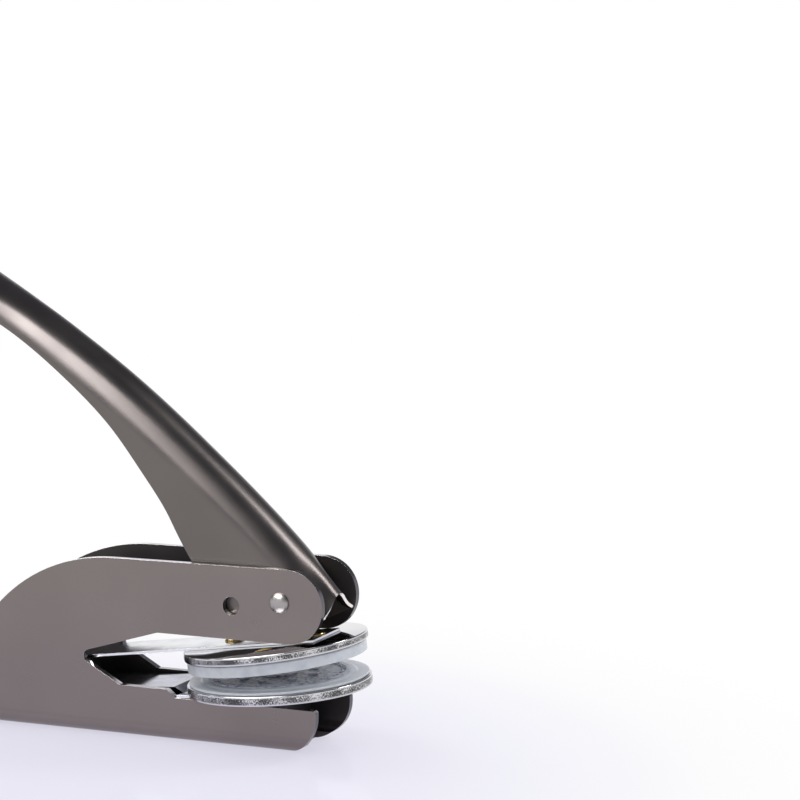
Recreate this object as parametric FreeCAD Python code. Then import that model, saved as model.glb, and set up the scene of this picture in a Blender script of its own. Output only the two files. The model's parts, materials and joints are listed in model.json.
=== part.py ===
import FreeCAD, Part
import math
import os

# Seal embosser: a C-shaped body of pressed steel, a hollow lever that turns between its cheeks,
# and a spring clip that carries a pair of round dies. Millimetres and degrees.
# Origin: middle of the flat underside of the body. +X points to the dies, +Z up.
# Lengths along the body are given from the pivot, positive towards the dies.

# Body, bent from one sheet into a U channel
BODY_SHEET = 1.8
BODY_WIDTH = 22.5
BEND_RADIUS = 4.5
WEB_FRONT = 1.2
WEB_REAR = -133.6

# Side outline of the cheeks
JAW_FRONT = 11.4
JAW_CLEARANCE = 0.86
JAW_TOP_ABOVE_PIVOT = 8.4
JAW_ROUND_SHARE = 0.49
HUMP_REACH = 64.6
HUMP_ABOVE_PIVOT = 7.6
HUMP_ROUND = 45.0
TAIL_REACH = 95.8
TAIL_HEIGHT = 14.0
TAIL_ROUND = 28.0
REAR_REACH = 142.0
REAR_ROUND_SHARE = 0.32
LOWER_FRONT = 9.6
LOWER_ROUND_SHARE = 0.84
SEAT_HEIGHT = 11.3
SEAT_EDGE_ROUND = 0.7
NOTCH_CLEARANCE = 0.6
NOTCH_RUN = 2.4
NOTCH_ROUND = 0.4
STEP_HEIGHT = 13.3
THROAT_CORNER_REACH = 44.0
THROAT_CORNER_ROUND = 1.0
THROAT_TIP_REACH = 56.8
THROAT_TIP_HEIGHT = 20.4
THROAT_TIP_ROUND = 1.7
THROAT_PEAK_REACH = 33.4
THROAT_PEAK_ROUND = 3.0

# Pivot rivet and what turns on it
RIVET_DIAMETER = 4.0
RIVET_HEAD_DIAMETER = 5.2
RIVET_HEAD_HEIGHT = 1.5
SPACER_DIAMETER = 6.0
PIVOT_WASHER_DIAMETER = 8.5
PIVOT_WASHER_THICKNESS = 0.35
SERVICE_HOLE_DIAMETER = 4.6
SERVICE_HOLE_REACH = 13.0
SERVICE_HOLE_DROP = 1.8

# Lever, formed from one sheet
LEVER_SHEET = 1.5
LEVER_REACH = 128.0
LEVER_RISE = 95.0
LEVER_FLANK_DEPTH = 34.0
GRIP_WIDTH = 30.5
NOSE_REACH = 12.6
NOSE_LEAN = 20.0
NOSE_LIFT = 0.5
NOSE_DROP = 4.6
NOSE_ROUND = 1.5
PIVOT_LOBE_RADIUS = 7.4
HEEL_REACH = 14.0
HEEL_DROP = 3.0
HEEL_RADIUS = 2.0
NOSE_ARCH_RISE = 5.2
NECK_ARCH_RISE = 3.6
LEVER_SECTIONS = 25

# Roller that presses the clip
ROLLER_ARM = 9.2
ROLLER_START_ANGLE = 47.0
ROLLER_DIAMETER = 9.1
ROLLER_CLEARANCE = 0.37
ROLLER_PIN_DIAMETER = 3.0
ROLLER_LOBE_RADIUS = 3.7
ROLLER_WASHER_DIAMETER = 6.4
ROLLER_WASHER_THICKNESS = 0.5

# Spring clip and dies
CLIP_SHEET = 0.7
CLIP_SIDE_CLEARANCE = 1.45
CLIP_BEND_RADIUS = 3.3
CLIP_JOG_RADIUS = 0.6
CLIP_FRONT_OVERHANG = 8.6
EAR_LENGTH = 6.0
DIE_REACH = 5.0
LOWER_TILT = 4.2
OPEN_ANGLE = 4.0
HINGE_REACH = 47.4
CLOSED_GAP = 0.3
CARRIER_DIAMETER = 46.0
LOWER_CARRIER_THICKNESS = 2.4
UPPER_CARRIER_THICKNESS = 2.0
CARRIER_EDGE = 0.25
DIE_DIAMETER = 44.8
LOWER_DIE_EDGE = 0.2
UPPER_DIE_EDGE = 0.5
LOWER_DIE_THICKNESS = 1.15
UPPER_DIE_THICKNESS = 2.7
PLATEAU_DIAMETER = 38.0
PLATEAU_HEIGHT = 0.6
RELIEF_HEIGHT = 0.25
RELIEF_RING_WIDTH = 1.2
RELIEF_PETALS = 8
PAD_THICKNESS = 0.25
PAD_INSET = 0.6
CLIP_RIVET_SPACING = 22.0
CLIP_RIVET_DIAMETER = 2.0
CLIP_RIVET_HEAD_DIAMETER = 5.4
CLIP_RIVET_HEAD_HEIGHT = 0.9

# Anvil block under the lower die
ANVIL_REAR_GAP = 4.6
ANVIL_FRONT_REACH = 1.0
ANVIL_CHAMFER = 3.0
SCREW_DIAMETER = 2.5
SCREW_HEAD_DIAMETER = 5.0
SCREW_HEAD_HEIGHT = 1.4
SCREW_LENGTH = 7.0
SCREW_SPACING = 13.0

# Clearances
RUNNING_FIT = 0.05
SEATED_FIT = 0.02
CLIP_CUT = 0.1
SEAT_CLEARANCE = 0.3
OVERRUN = 2.0
SAME_POINT = 1e-6

# Ridge of the lever from nose to grip end, as shares of its reach and rise
RIDGE_SHARES = (
    (-0.130, -0.052),
    (-0.011, 0.124),
    (0.172, 0.349),
    (0.350, 0.542),
    (0.484, 0.665),
    (0.598, 0.758),
    (0.676, 0.814),
    (0.766, 0.873),
    (0.867, 0.933),
    (0.949, 0.976),
    (1.000, 1.000),
)
# Shares of the ridge's length: where the sharp ridge starts and ends fading into a round crown,
# where the lever starts to widen and is full, and how much of the extra width its end has lost
FADE_SHARES = (0.10, 0.65)
GRIP_SHARES = (0.64, 0.88)
END_TAPER_SHARE = 0.8
# Lower edge of the flanks, from the heel to beyond the grip end, as shares of the reach and rise
LOWER_EDGE_SHARES = (
    (0.197, 0.093),
    (0.250, 0.217),
    (0.303, 0.316),
    (0.363, 0.418),
    (0.423, 0.497),
    (0.484, 0.565),
    (0.546, 0.627),
    (0.608, 0.680),
    (0.805, 0.812),
    (0.980, 0.893),
    (1.150, 0.955),
)
# Shares of the half width and of the rise, from the crown down to the flank
ROUND_ARCH_SHARES = ((0.0, 0.0), (0.45, 0.07), (0.76, 0.27), (0.94, 0.60), (1.0, 1.0))
RIDGE_ARCH_SHARES = ((0.0, 0.0), (0.20, 0.07), (0.52, 0.38), (0.84, 0.76), (1.0, 1.0))

PIVOT_X = -(WEB_FRONT + WEB_REAR) / 2
INNER_WIDTH = BODY_WIDTH - 2 * BODY_SHEET
CLIP_WIDTH = INNER_WIDTH - 2 * CLIP_SIDE_CLEARANCE
LEVER_WIDTH = INNER_WIDTH - 2 * (PIVOT_WASHER_THICKNESS + RUNNING_FIT)
LEVER_INNER_WIDTH = LEVER_WIDTH - 2 * LEVER_SHEET
NOTCH_REACH = DIE_REACH + CARRIER_DIAMETER / 2 + NOTCH_CLEARANCE
Y_AXIS = FreeCAD.Vector(0, 1, 0)

# Heights in the stack of dies, square to the die faces, from the underside of the clip
LOWER_CARRIER_BASE = CLIP_SHEET
LOWER_PAD_BASE = LOWER_CARRIER_BASE + LOWER_CARRIER_THICKNESS
LOWER_DIE_BASE = LOWER_PAD_BASE + PAD_THICKNESS
LOWER_FACE = LOWER_DIE_BASE + LOWER_DIE_THICKNESS
UPPER_FACE = LOWER_FACE + CLOSED_GAP
UPPER_PAD_BASE = UPPER_FACE + UPPER_DIE_THICKNESS
UPPER_CARRIER_BASE = UPPER_PAD_BASE + PAD_THICKNESS
UPPER_CLIP_BASE = UPPER_CARRIER_BASE + UPPER_CARRIER_THICKNESS


def place(x, y, z):
    return FreeCAD.Vector(PIVOT_X + x, y, z)


def stack_height_at(reach):
    """Height of the underside of the clip, at a place behind the pivot."""
    run = NOTCH_REACH - SEAT_CLEARANCE - reach
    return SEAT_HEIGHT + run * math.tan(math.radians(LOWER_TILT))


def on_seat(shape):
    """Move a piece from the die axes, with the die centre at 0, to its place on the body."""
    shape.rotate(FreeCAD.Vector(0, 0, 0), Y_AXIS, -LOWER_TILT)
    shape.translate(place(-DIE_REACH, 0, stack_height_at(DIE_REACH)))
    return shape


def seat_line_height(x, height):
    """Height, at x from the pivot, of the plane that lies that far above the clip's underside."""
    tilt = math.radians(LOWER_TILT)
    return stack_height_at(-x) + height / math.cos(tilt)


def hinge_point():
    return place(-HINGE_REACH, 0, seat_line_height(-HINGE_REACH, UPPER_FACE))


def opened(shape):
    """Lift a piece of the upper die from closed to open, about the clip's bending line."""
    shape.rotate(hinge_point(), Y_AXIS, -OPEN_ANGLE)
    return shape


def open_line_height(x, height):
    """The same as seat_line_height, for the upper die's stack when it is open."""
    tilt = math.radians(LOWER_TILT + OPEN_ANGLE)
    rise = (x + HINGE_REACH) * math.tan(tilt)
    return hinge_point().z + rise + (height - UPPER_FACE) / math.cos(tilt)


# Roller, pivot and jaws stand on the open stack of dies
ROLLER_X = -ROLLER_ARM * math.sin(math.radians(ROLLER_START_ANGLE))
ROLLER_STAND = (ROLLER_DIAMETER / 2 + ROLLER_CLEARANCE) / math.cos(math.radians(LOWER_TILT + OPEN_ANGLE))
ROLLER_Z = open_line_height(ROLLER_X, UPPER_CLIP_BASE + CLIP_SHEET) + ROLLER_STAND
PIVOT_HEIGHT = ROLLER_Z + ROLLER_ARM * math.cos(math.radians(ROLLER_START_ANGLE))
JAW_BOTTOM = open_line_height(0, UPPER_CLIP_BASE) + JAW_CLEARANCE
JAW_TOP = PIVOT_HEIGHT + JAW_TOP_ABOVE_PIVOT
HUMP_HEIGHT = PIVOT_HEIGHT + HUMP_ABOVE_PIVOT


def round_corners(corners, closed):
    """Edges through corners (x, z, radius), each corner replaced by a tangent arc."""
    points = [place(x, 0, z) for x, z, radius in corners]
    count = len(corners)
    edges = []
    cuts = []
    for i in range(count):
        if not closed and i in (0, count - 1):
            cuts.append((points[i], None, points[i]))
            continue
        before = (points[i - 1] - points[i]).normalize()
        after = (points[(i + 1) % count] - points[i]).normalize()
        half = before.getAngle(after) / 2
        radius = corners[i][2]
        reach = radius / math.tan(half)
        middle = (before + after).normalize()
        crown = points[i] + middle * (radius / math.sin(half) - radius)
        cuts.append((points[i] + before * reach, crown, points[i] + after * reach))
    for i in range(count):
        start, crown, end = cuts[i]
        if crown is not None:
            edges.append(Part.Arc(start, crown, end).toShape())
        if i < count - 1 or closed:
            following = cuts[(i + 1) % count][0]
            if end.distanceToPoint(following) > SAME_POINT:
                edges.append(Part.LineSegment(end, following).toShape())
    return edges


def side_plate(corners, width):
    """A solid with the given side outline, as wide as asked and centred on the middle plane."""
    wire = Part.Wire(round_corners(corners, True))
    face = Part.Face(wire)
    face.translate(Y_AXIS * (-width / 2))
    return face.extrude(Y_AXIS * width)


def cross_cylinder(x, z, diameter, length, start=None):
    """A cylinder along Y, centred on the middle plane unless a start is given."""
    if start is None:
        start = -length / 2
    return Part.makeCylinder(diameter / 2, length, place(x, start, z), Y_AXIS)


def block(x0, x1, y0, y1, z0, z1):
    return Part.makeBox(x1 - x0, y1 - y0, z1 - z0, place(x0, y0, z0))


def clean(shape):
    return shape.removeSplitter()


# Body

def cheek_outline():
    jaw_round = (JAW_TOP - JAW_BOTTOM) * JAW_ROUND_SHARE
    rear_round = TAIL_HEIGHT * REAR_ROUND_SHARE
    return (
        (LOWER_FRONT, 0, SEAT_HEIGHT * LOWER_ROUND_SHARE),
        (LOWER_FRONT, SEAT_HEIGHT, SEAT_EDGE_ROUND),
        (-NOTCH_REACH, SEAT_HEIGHT, NOTCH_ROUND),
        (-NOTCH_REACH - NOTCH_RUN, STEP_HEIGHT, NOTCH_ROUND),
        (-THROAT_CORNER_REACH, STEP_HEIGHT, THROAT_CORNER_ROUND),
        (-THROAT_TIP_REACH, THROAT_TIP_HEIGHT, THROAT_TIP_ROUND),
        (-THROAT_PEAK_REACH, JAW_BOTTOM, THROAT_PEAK_ROUND),
        (JAW_FRONT, JAW_BOTTOM, jaw_round),
        (JAW_FRONT, JAW_TOP, jaw_round),
        (-HUMP_REACH, HUMP_HEIGHT, HUMP_ROUND),
        (-TAIL_REACH, TAIL_HEIGHT, TAIL_ROUND),
        (-REAR_REACH, TAIL_HEIGHT, rear_round),
        (-REAR_REACH, 0, TAIL_HEIGHT - rear_round),
    )


def channel():
    """The U section, with bent corners, as long and tall as the cheeks."""
    height = JAW_TOP + OVERRUN
    outer = block(-REAR_REACH, JAW_FRONT, -BODY_WIDTH / 2, BODY_WIDTH / 2, 0, height)
    inner = block(-REAR_REACH - OVERRUN, JAW_FRONT + OVERRUN, -INNER_WIDTH / 2, INNER_WIDTH / 2,
                  BODY_SHEET, height + OVERRUN)
    outer = outer.makeFillet(BEND_RADIUS, low_long_edges(outer, 0))
    inner = inner.makeFillet(BEND_RADIUS - BODY_SHEET, low_long_edges(inner, BODY_SHEET))
    return outer.cut(inner)


def low_long_edges(box, height):
    """The two bottom edges of a box that run along X."""
    found = []
    for edge in box.Edges:
        low = abs(edge.BoundBox.ZMax - height) < SEATED_FIT
        along = edge.BoundBox.YLength < SEATED_FIT
        if low and along:
            found.append(edge)
    return found


def body_frame():
    body = channel().common(side_plate(cheek_outline(), BODY_WIDTH + OVERRUN))
    flat = BODY_WIDTH / 2 - BEND_RADIUS
    front = block(WEB_FRONT, JAW_FRONT + OVERRUN, -flat, flat, -OVERRUN, BODY_SHEET + OVERRUN)
    rear = block(-REAR_REACH - OVERRUN, WEB_REAR, -flat, flat, -OVERRUN, BODY_SHEET + OVERRUN)
    body = body.cut(front).cut(rear)
    rivet_hole = cross_cylinder(0, PIVOT_HEIGHT, RIVET_DIAMETER + 2 * SEATED_FIT, BODY_WIDTH + OVERRUN)
    service_hole = cross_cylinder(-SERVICE_HOLE_REACH, PIVOT_HEIGHT - SERVICE_HOLE_DROP,
                                  SERVICE_HOLE_DIAMETER, BODY_WIDTH + OVERRUN)
    body = body.cut(rivet_hole).cut(service_hole)
    for x in screw_places():
        body = body.cut(screw(x, SEATED_FIT))
    return clean(body)


# Pivot

def domed_head(side):
    """A low dome on the outer face of one cheek; side is -1 or +1."""
    radius = RIVET_HEAD_DIAMETER / 2
    sphere_radius = (radius ** 2 + RIVET_HEAD_HEIGHT ** 2) / (2 * RIVET_HEAD_HEIGHT)
    centre = side * (BODY_WIDTH / 2 + RIVET_HEAD_HEIGHT - sphere_radius)
    ball = Part.makeSphere(sphere_radius, place(0, centre, PIVOT_HEIGHT))
    start = BODY_WIDTH / 2 if side > 0 else -BODY_WIDTH / 2 - RIVET_HEAD_HEIGHT
    return ball.common(cross_cylinder(0, PIVOT_HEIGHT, RIVET_HEAD_DIAMETER, RIVET_HEAD_HEIGHT, start))


def pivot_rivet():
    shank = cross_cylinder(0, PIVOT_HEIGHT, RIVET_DIAMETER, BODY_WIDTH)
    return clean(shank.fuse([domed_head(-1), domed_head(1)]))


def ring(x, z, outer, inner, thickness, start):
    return cross_cylinder(x, z, outer, thickness, start).cut(cross_cylinder(x, z, inner, thickness, start))


def pivot_washers():
    bore = RIVET_DIAMETER + 2 * SEATED_FIT
    rings = []
    for start in (-INNER_WIDTH / 2, INNER_WIDTH / 2 - PIVOT_WASHER_THICKNESS):
        rings.append(ring(0, PIVOT_HEIGHT, PIVOT_WASHER_DIAMETER, bore, PIVOT_WASHER_THICKNESS, start))
    return Part.makeCompound(rings)


def pivot_spacer():
    length = LEVER_INNER_WIDTH
    return ring(0, PIVOT_HEIGHT, SPACER_DIAMETER, RIVET_DIAMETER + 2 * RUNNING_FIT, length, -length / 2)


# Lever

def ridge_curve():
    curve = Part.BSplineCurve()
    curve.interpolate([place(-x * LEVER_REACH, 0, PIVOT_HEIGHT + z * LEVER_RISE) for x, z in RIDGE_SHARES])
    return curve


def ease(value, start, end):
    """0 up to start, 1 from end on, and a smooth rise between."""
    way = min(max((value - start) / (end - start), 0), 1)
    return way * way * (3 - 2 * way)


def widening(share):
    """How far the lever has widened to the grip, at a share of the ridge's length."""
    taper = max(share - GRIP_SHARES[1], 0) / (1 - GRIP_SHARES[1])
    return ease(share, *GRIP_SHARES) - END_TAPER_SHARE * taper ** 2


def arch_points(half_width, rise, ridged, drop):
    """Arch of one section, as sideways and downward distances, from one flank to the other."""
    right = []
    for rounded, peaked in zip(ROUND_ARCH_SHARES, RIDGE_ARCH_SHARES):
        sideways = rounded[0] + (peaked[0] - rounded[0]) * ridged
        down = rounded[1] + (peaked[1] - rounded[1]) * ridged
        right.append((sideways * half_width, drop + down * rise))
    left = [(-sideways, down) for sideways, down in right[:0:-1]]
    return left + right


def lever_section(curve, point, share, inset):
    """Closed section of the lever's outer (inset 0) or inner form, square to the ridge."""
    up = curve.tangent(curve.parameter(point))[0].cross(Y_AXIS)
    if up.z < 0:
        up = -up
    ridged = 1 - ease(share, *FADE_SHARES)
    half_width = LEVER_WIDTH / 2 + (GRIP_WIDTH - LEVER_WIDTH) / 2 * widening(share) - inset
    rise = NECK_ARCH_RISE + (NOSE_ARCH_RISE - NECK_ARCH_RISE) * max(ridged, widening(share))
    arch = [point + Y_AXIS * side - up * down
            for side, down in arch_points(half_width, rise - inset / 2, ridged, inset)]
    crown = Part.BSplineCurve()
    crown.interpolate(arch)
    low_left = point - Y_AXIS * half_width - up * LEVER_FLANK_DEPTH
    low_right = point + Y_AXIS * half_width - up * LEVER_FLANK_DEPTH
    return Part.Wire([
        Part.LineSegment(low_left, arch[0]).toShape(),
        crown.toShape(),
        Part.LineSegment(arch[-1], low_right).toShape(),
        Part.LineSegment(low_right, low_left).toShape(),
    ])


def lever_form(inset):
    curve = ridge_curve()
    points = curve.toShape().discretize(LEVER_SECTIONS)
    sections = [lever_section(curve, point, i / (LEVER_SECTIONS - 1), inset)
                for i, point in enumerate(points)]
    return Part.makeLoft(sections, True, False, False, 3)


def end_wall_cut():
    """A wedge that keeps the inner form off the closed end of the grip."""
    curve = ridge_curve()
    end = curve.EndPoint
    along = curve.tangent(curve.parameter(end))[0]
    if along.x > 0:
        along = -along
    size = LEVER_FLANK_DEPTH * OVERRUN
    wall = Part.makeBox(size, size, size, end - FreeCAD.Vector(0, size / 2, size / 2))
    turn = math.degrees(math.atan2(along.z, -along.x))
    wall.translate(FreeCAD.Vector(-size, 0, 0))
    wall.rotate(end, Y_AXIS, turn)
    wall.translate(along * (-LEVER_SHEET))
    return wall


def lever_side():
    """Side outline of the lever, as a solid wider than the grip."""
    width = GRIP_WIDTH + OVERRUN
    lean = math.tan(math.radians(NOSE_LEAN))
    top = LEVER_RISE + LEVER_FLANK_DEPTH
    nose_top = place(NOSE_REACH + (top - NOSE_LIFT) * lean, 0, PIVOT_HEIGHT + top)
    nose_low = place(NOSE_REACH - (NOSE_DROP + NOSE_LIFT) * lean, 0, PIVOT_HEIGHT - NOSE_DROP)
    pivot = place(0, 0, PIVOT_HEIGHT)
    roller = place(ROLLER_X, 0, ROLLER_Z)
    heel = place(-HEEL_REACH, 0, PIVOT_HEIGHT - HEEL_DROP)
    edge_points = [place(-x * LEVER_REACH, 0, PIVOT_HEIGHT + z * LEVER_RISE)
                   for x, z in LOWER_EDGE_SHARES]
    edge = Part.BSplineCurve()
    edge.interpolate([heel] + edge_points)
    end = edge_points[-1]
    rear_top = FreeCAD.Vector(end.x, 0, PIVOT_HEIGHT + top)
    wire = Part.Wire([
        Part.LineSegment(nose_top, nose_low).toShape(),
        Part.LineSegment(nose_low, pivot).toShape(),
        Part.LineSegment(pivot, roller).toShape(),
        Part.LineSegment(roller, heel).toShape(),
        edge.toShape(),
        Part.LineSegment(end, rear_top).toShape(),
        Part.LineSegment(rear_top, nose_top).toShape(),
    ])
    face = Part.Face(wire)
    face.translate(Y_AXIS * (-width / 2))
    sheet = face.extrude(Y_AXIS * width)
    lobes = [
        tapered_link(pivot, PIVOT_LOBE_RADIUS, roller, ROLLER_LOBE_RADIUS, width),
        tapered_link(pivot, PIVOT_LOBE_RADIUS, nose_low + (pivot - nose_low).normalize() * NOSE_ROUND,
                     NOSE_ROUND, width),
        tapered_link(roller, ROLLER_LOBE_RADIUS, heel, HEEL_RADIUS, width),
    ]
    return sheet.fuse(lobes)


def tapered_link(first, first_radius, second, second_radius, width):
    """Plate whose outline wraps two circles in the side view."""
    gap = second - first
    spread = math.acos((first_radius - second_radius) / gap.Length)
    facing = math.atan2(gap.z, gap.x)
    corners = []
    for turn in (spread, -spread):
        ray = FreeCAD.Vector(math.cos(facing + turn), 0, math.sin(facing + turn))
        corners.append((first + ray * first_radius, second + ray * second_radius))
    outline = [corners[0][0], corners[0][1], corners[1][1], corners[1][0], corners[0][0]]
    middle = Part.Face(Part.makePolygon(outline))
    middle.translate(Y_AXIS * (-width / 2))
    plate = middle.extrude(Y_AXIS * width)
    rounds = [Part.makeCylinder(radius, width, centre - Y_AXIS * (width / 2), Y_AXIS)
              for centre, radius in ((first, first_radius), (second, second_radius))]
    return plate.fuse(rounds)


def lever():
    shell = lever_form(0).cut(lever_form(LEVER_SHEET).cut(end_wall_cut()))
    shell = shell.common(lever_side())
    pivot_hole = cross_cylinder(0, PIVOT_HEIGHT, RIVET_DIAMETER + 2 * RUNNING_FIT, LEVER_WIDTH + OVERRUN)
    pin_hole = cross_cylinder(ROLLER_X, ROLLER_Z, ROLLER_PIN_DIAMETER + 2 * SEATED_FIT,
                              LEVER_WIDTH + OVERRUN)
    return clean(shell.cut(pivot_hole).cut(pin_hole))


# Roller

def roller_pin():
    return cross_cylinder(ROLLER_X, ROLLER_Z, ROLLER_PIN_DIAMETER, LEVER_WIDTH)


def roller_washers():
    bore = ROLLER_PIN_DIAMETER + 2 * SEATED_FIT
    rings = []
    for start in (-LEVER_INNER_WIDTH / 2, LEVER_INNER_WIDTH / 2 - ROLLER_WASHER_THICKNESS):
        rings.append(ring(ROLLER_X, ROLLER_Z, ROLLER_WASHER_DIAMETER, bore,
                          ROLLER_WASHER_THICKNESS, start))
    return Part.makeCompound(rings)


def presser_roller():
    length = LEVER_INNER_WIDTH - 2 * (ROLLER_WASHER_THICKNESS + RUNNING_FIT)
    bore = ROLLER_PIN_DIAMETER + 2 * RUNNING_FIT
    return ring(ROLLER_X, ROLLER_Z, ROLLER_DIAMETER, bore, length, -length / 2)


# Dies. Their pieces are built square to the die faces and then put on the seat of the body.

def disc(diameter, base, height, edge):
    """A round plate whose two rims are chamfered."""
    plate = Part.makeCylinder(diameter / 2, height, FreeCAD.Vector(0, 0, base))
    rims = [rim for rim in plate.Edges if rim.Length > diameter and rim.isClosed()]
    return plate.makeChamfer(edge, rims)


def clip_rivet_holes(shape, base, height):
    """Take the two clip rivets' holes out of a piece in the die axes."""
    for x in (-CLIP_RIVET_SPACING / 2, CLIP_RIVET_SPACING / 2):
        radius = CLIP_RIVET_DIAMETER / 2 + SEATED_FIT
        shape = shape.cut(Part.makeCylinder(radius, height, FreeCAD.Vector(x, 0, base)))
    return shape


def lower_carrier_disc():
    plate = disc(CARRIER_DIAMETER, LOWER_CARRIER_BASE, LOWER_CARRIER_THICKNESS, CARRIER_EDGE)
    return on_seat(clip_rivet_holes(plate, LOWER_CARRIER_BASE, LOWER_CARRIER_THICKNESS))


def upper_carrier_disc():
    plate = disc(CARRIER_DIAMETER, UPPER_CARRIER_BASE, UPPER_CARRIER_THICKNESS, CARRIER_EDGE)
    return opened(on_seat(clip_rivet_holes(plate, UPPER_CARRIER_BASE, UPPER_CARRIER_THICKNESS)))


def pad(base):
    return Part.makeCylinder(DIE_DIAMETER / 2 - PAD_INSET, PAD_THICKNESS, FreeCAD.Vector(0, 0, base))


def relief(base, height, growth):
    """Generic embossing motif: a plain rosette inside a plain ring."""
    outer = PLATEAU_DIAMETER / 2 - RELIEF_RING_WIDTH
    start = FreeCAD.Vector(0, 0, base)
    motif = Part.makeCylinder(outer + growth, height, start)
    motif = motif.cut(Part.makeCylinder(outer - RELIEF_RING_WIDTH - growth, height, start))
    petal_length = outer / 2
    petal = Part.makeCylinder(RELIEF_RING_WIDTH + growth, height, start)
    petals = []
    for i in range(RELIEF_PETALS):
        turn = 2 * math.pi * i / RELIEF_PETALS
        leaf = petal.copy()
        leaf.translate(FreeCAD.Vector(math.cos(turn), math.sin(turn), 0) * petal_length)
        petals.append(leaf)
    boss = Part.makeCylinder(petal_length / 2 + growth, height, start)
    return motif.fuse(petals + [boss])


def lower_die():
    base = disc(DIE_DIAMETER, LOWER_DIE_BASE, LOWER_DIE_THICKNESS - PLATEAU_HEIGHT, LOWER_DIE_EDGE)
    top = LOWER_FACE - PLATEAU_HEIGHT
    raised = Part.makeCone(PLATEAU_DIAMETER / 2 + PLATEAU_HEIGHT, PLATEAU_DIAMETER / 2,
                           PLATEAU_HEIGHT - RELIEF_HEIGHT, FreeCAD.Vector(0, 0, top))
    motif = relief(LOWER_FACE - RELIEF_HEIGHT, RELIEF_HEIGHT, 0)
    return on_seat(clean(base.fuse([raised, motif])))


def upper_die():
    base = disc(DIE_DIAMETER, UPPER_FACE, UPPER_DIE_THICKNESS, UPPER_DIE_EDGE)
    motif = relief(UPPER_FACE, RELIEF_HEIGHT, SEAT_CLEARANCE)
    return opened(on_seat(clean(base.cut(motif))))


def lower_die_pad():
    return on_seat(pad(LOWER_PAD_BASE))


def upper_die_pad():
    return opened(on_seat(pad(UPPER_PAD_BASE)))


def clip_rivets(outer_face, up, length):
    """Two brass rivets; up is +1 where the head stands above the clip and -1 below it."""
    pieces = []
    direction = FreeCAD.Vector(0, 0, up)
    for x in (-CLIP_RIVET_SPACING / 2, CLIP_RIVET_SPACING / 2):
        seat = FreeCAD.Vector(x, 0, outer_face)
        head = Part.makeCone(CLIP_RIVET_HEAD_DIAMETER / 2, CLIP_RIVET_DIAMETER / 2,
                             CLIP_RIVET_HEAD_HEIGHT, seat, direction)
        shank = Part.makeCylinder(CLIP_RIVET_DIAMETER / 2, length, seat, -direction)
        pieces.append(clean(head.fuse(shank)))
    return Part.makeCompound(pieces)


def upper_clip_rivets():
    length = CLIP_SHEET + UPPER_CARRIER_THICKNESS
    return opened(on_seat(clip_rivets(UPPER_CLIP_BASE + CLIP_SHEET, 1, length)))


def lower_clip_rivets():
    length = CLIP_SHEET + LOWER_CARRIER_THICKNESS
    return on_seat(clip_rivets(0, -1, length))


# Clip

def arm_plate(length_rear, length_front, width, base):
    """A flat length of the clip in the die axes."""
    return Part.makeBox(length_rear + length_front, width, CLIP_SHEET,
                        FreeCAD.Vector(-length_rear, -width / 2, base))


def clip_front():
    return CLIP_RIVET_SPACING / 2 + CLIP_FRONT_OVERHANG - CLIP_RIVET_HEAD_DIAMETER


def clip_upper_arm():
    """Upper arm of the clip, from the bending line to its front end on the upper carrier."""
    rear = (HINGE_REACH - DIE_REACH) / math.cos(math.radians(LOWER_TILT))
    arm = arm_plate(rear - CLIP_CUT, clip_front(), CLIP_WIDTH, UPPER_CLIP_BASE)
    return opened(on_seat(clip_rivet_holes(arm, UPPER_CLIP_BASE, CLIP_SHEET)))


def upper_arm_underside():
    """Two points on the underside of the open upper arm, both in the side view."""
    rear = (HINGE_REACH - DIE_REACH) / math.cos(math.radians(LOWER_TILT))
    line = Part.makeLine(FreeCAD.Vector(-rear, 0, UPPER_CLIP_BASE), FreeCAD.Vector(0, 0, UPPER_CLIP_BASE))
    opened(on_seat(line))
    return [vertex.Point for vertex in line.Vertexes]


def clip_spring():
    """Lower arm, the bend inside the body and the rear of the upper arm, one strip."""
    tilt = math.tan(math.radians(LOWER_TILT))
    cut, front = upper_arm_underside()
    slope = (front.z - cut.z) / (front.x - cut.x)
    foot = -NOTCH_REACH + CLIP_SHEET
    step = -NOTCH_REACH - NOTCH_RUN + CLIP_SHEET
    low_end = clip_front() - DIE_REACH
    raised = STEP_HEIGHT
    meet = (cut.z - slope * (cut.x - PIVOT_X) - raised + tilt * step) / (tilt - slope)
    inner_side = (
        (low_end, seat_line_height(low_end, CLIP_SHEET), 0),
        (foot, seat_line_height(foot, CLIP_SHEET), CLIP_JOG_RADIUS),
        (step, raised, CLIP_JOG_RADIUS + CLIP_SHEET),
        (meet, raised + tilt * (meet - step), CLIP_BEND_RADIUS),
        (cut.x - PIVOT_X, cut.z, 0),
    )
    wire = Part.Wire(round_corners(inner_side, False))
    strip = thicken(wire, FreeCAD.Vector(0, 0, -1))
    strip.translate(Y_AXIS * (-CLIP_WIDTH / 2))
    strip = strip.extrude(Y_AXIS * CLIP_WIDTH)
    ear_rear = NOTCH_REACH - SEAT_CLEARANCE - DIE_REACH
    ears = arm_plate(ear_rear, EAR_LENGTH - ear_rear, BODY_WIDTH - SEAT_CLEARANCE, 0)
    holes = clip_rivet_tools()
    return clean(strip.fuse(on_seat(ears)).cut(on_seat(holes)))


def clip_rivet_tools():
    radius = CLIP_RIVET_DIAMETER / 2 + SEATED_FIT
    tools = []
    for x in (-CLIP_RIVET_SPACING / 2, CLIP_RIVET_SPACING / 2):
        tools.append(Part.makeCylinder(radius, CLIP_SHEET + 2 * OVERRUN, FreeCAD.Vector(x, 0, -OVERRUN)))
    return Part.makeCompound(tools)


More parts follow.
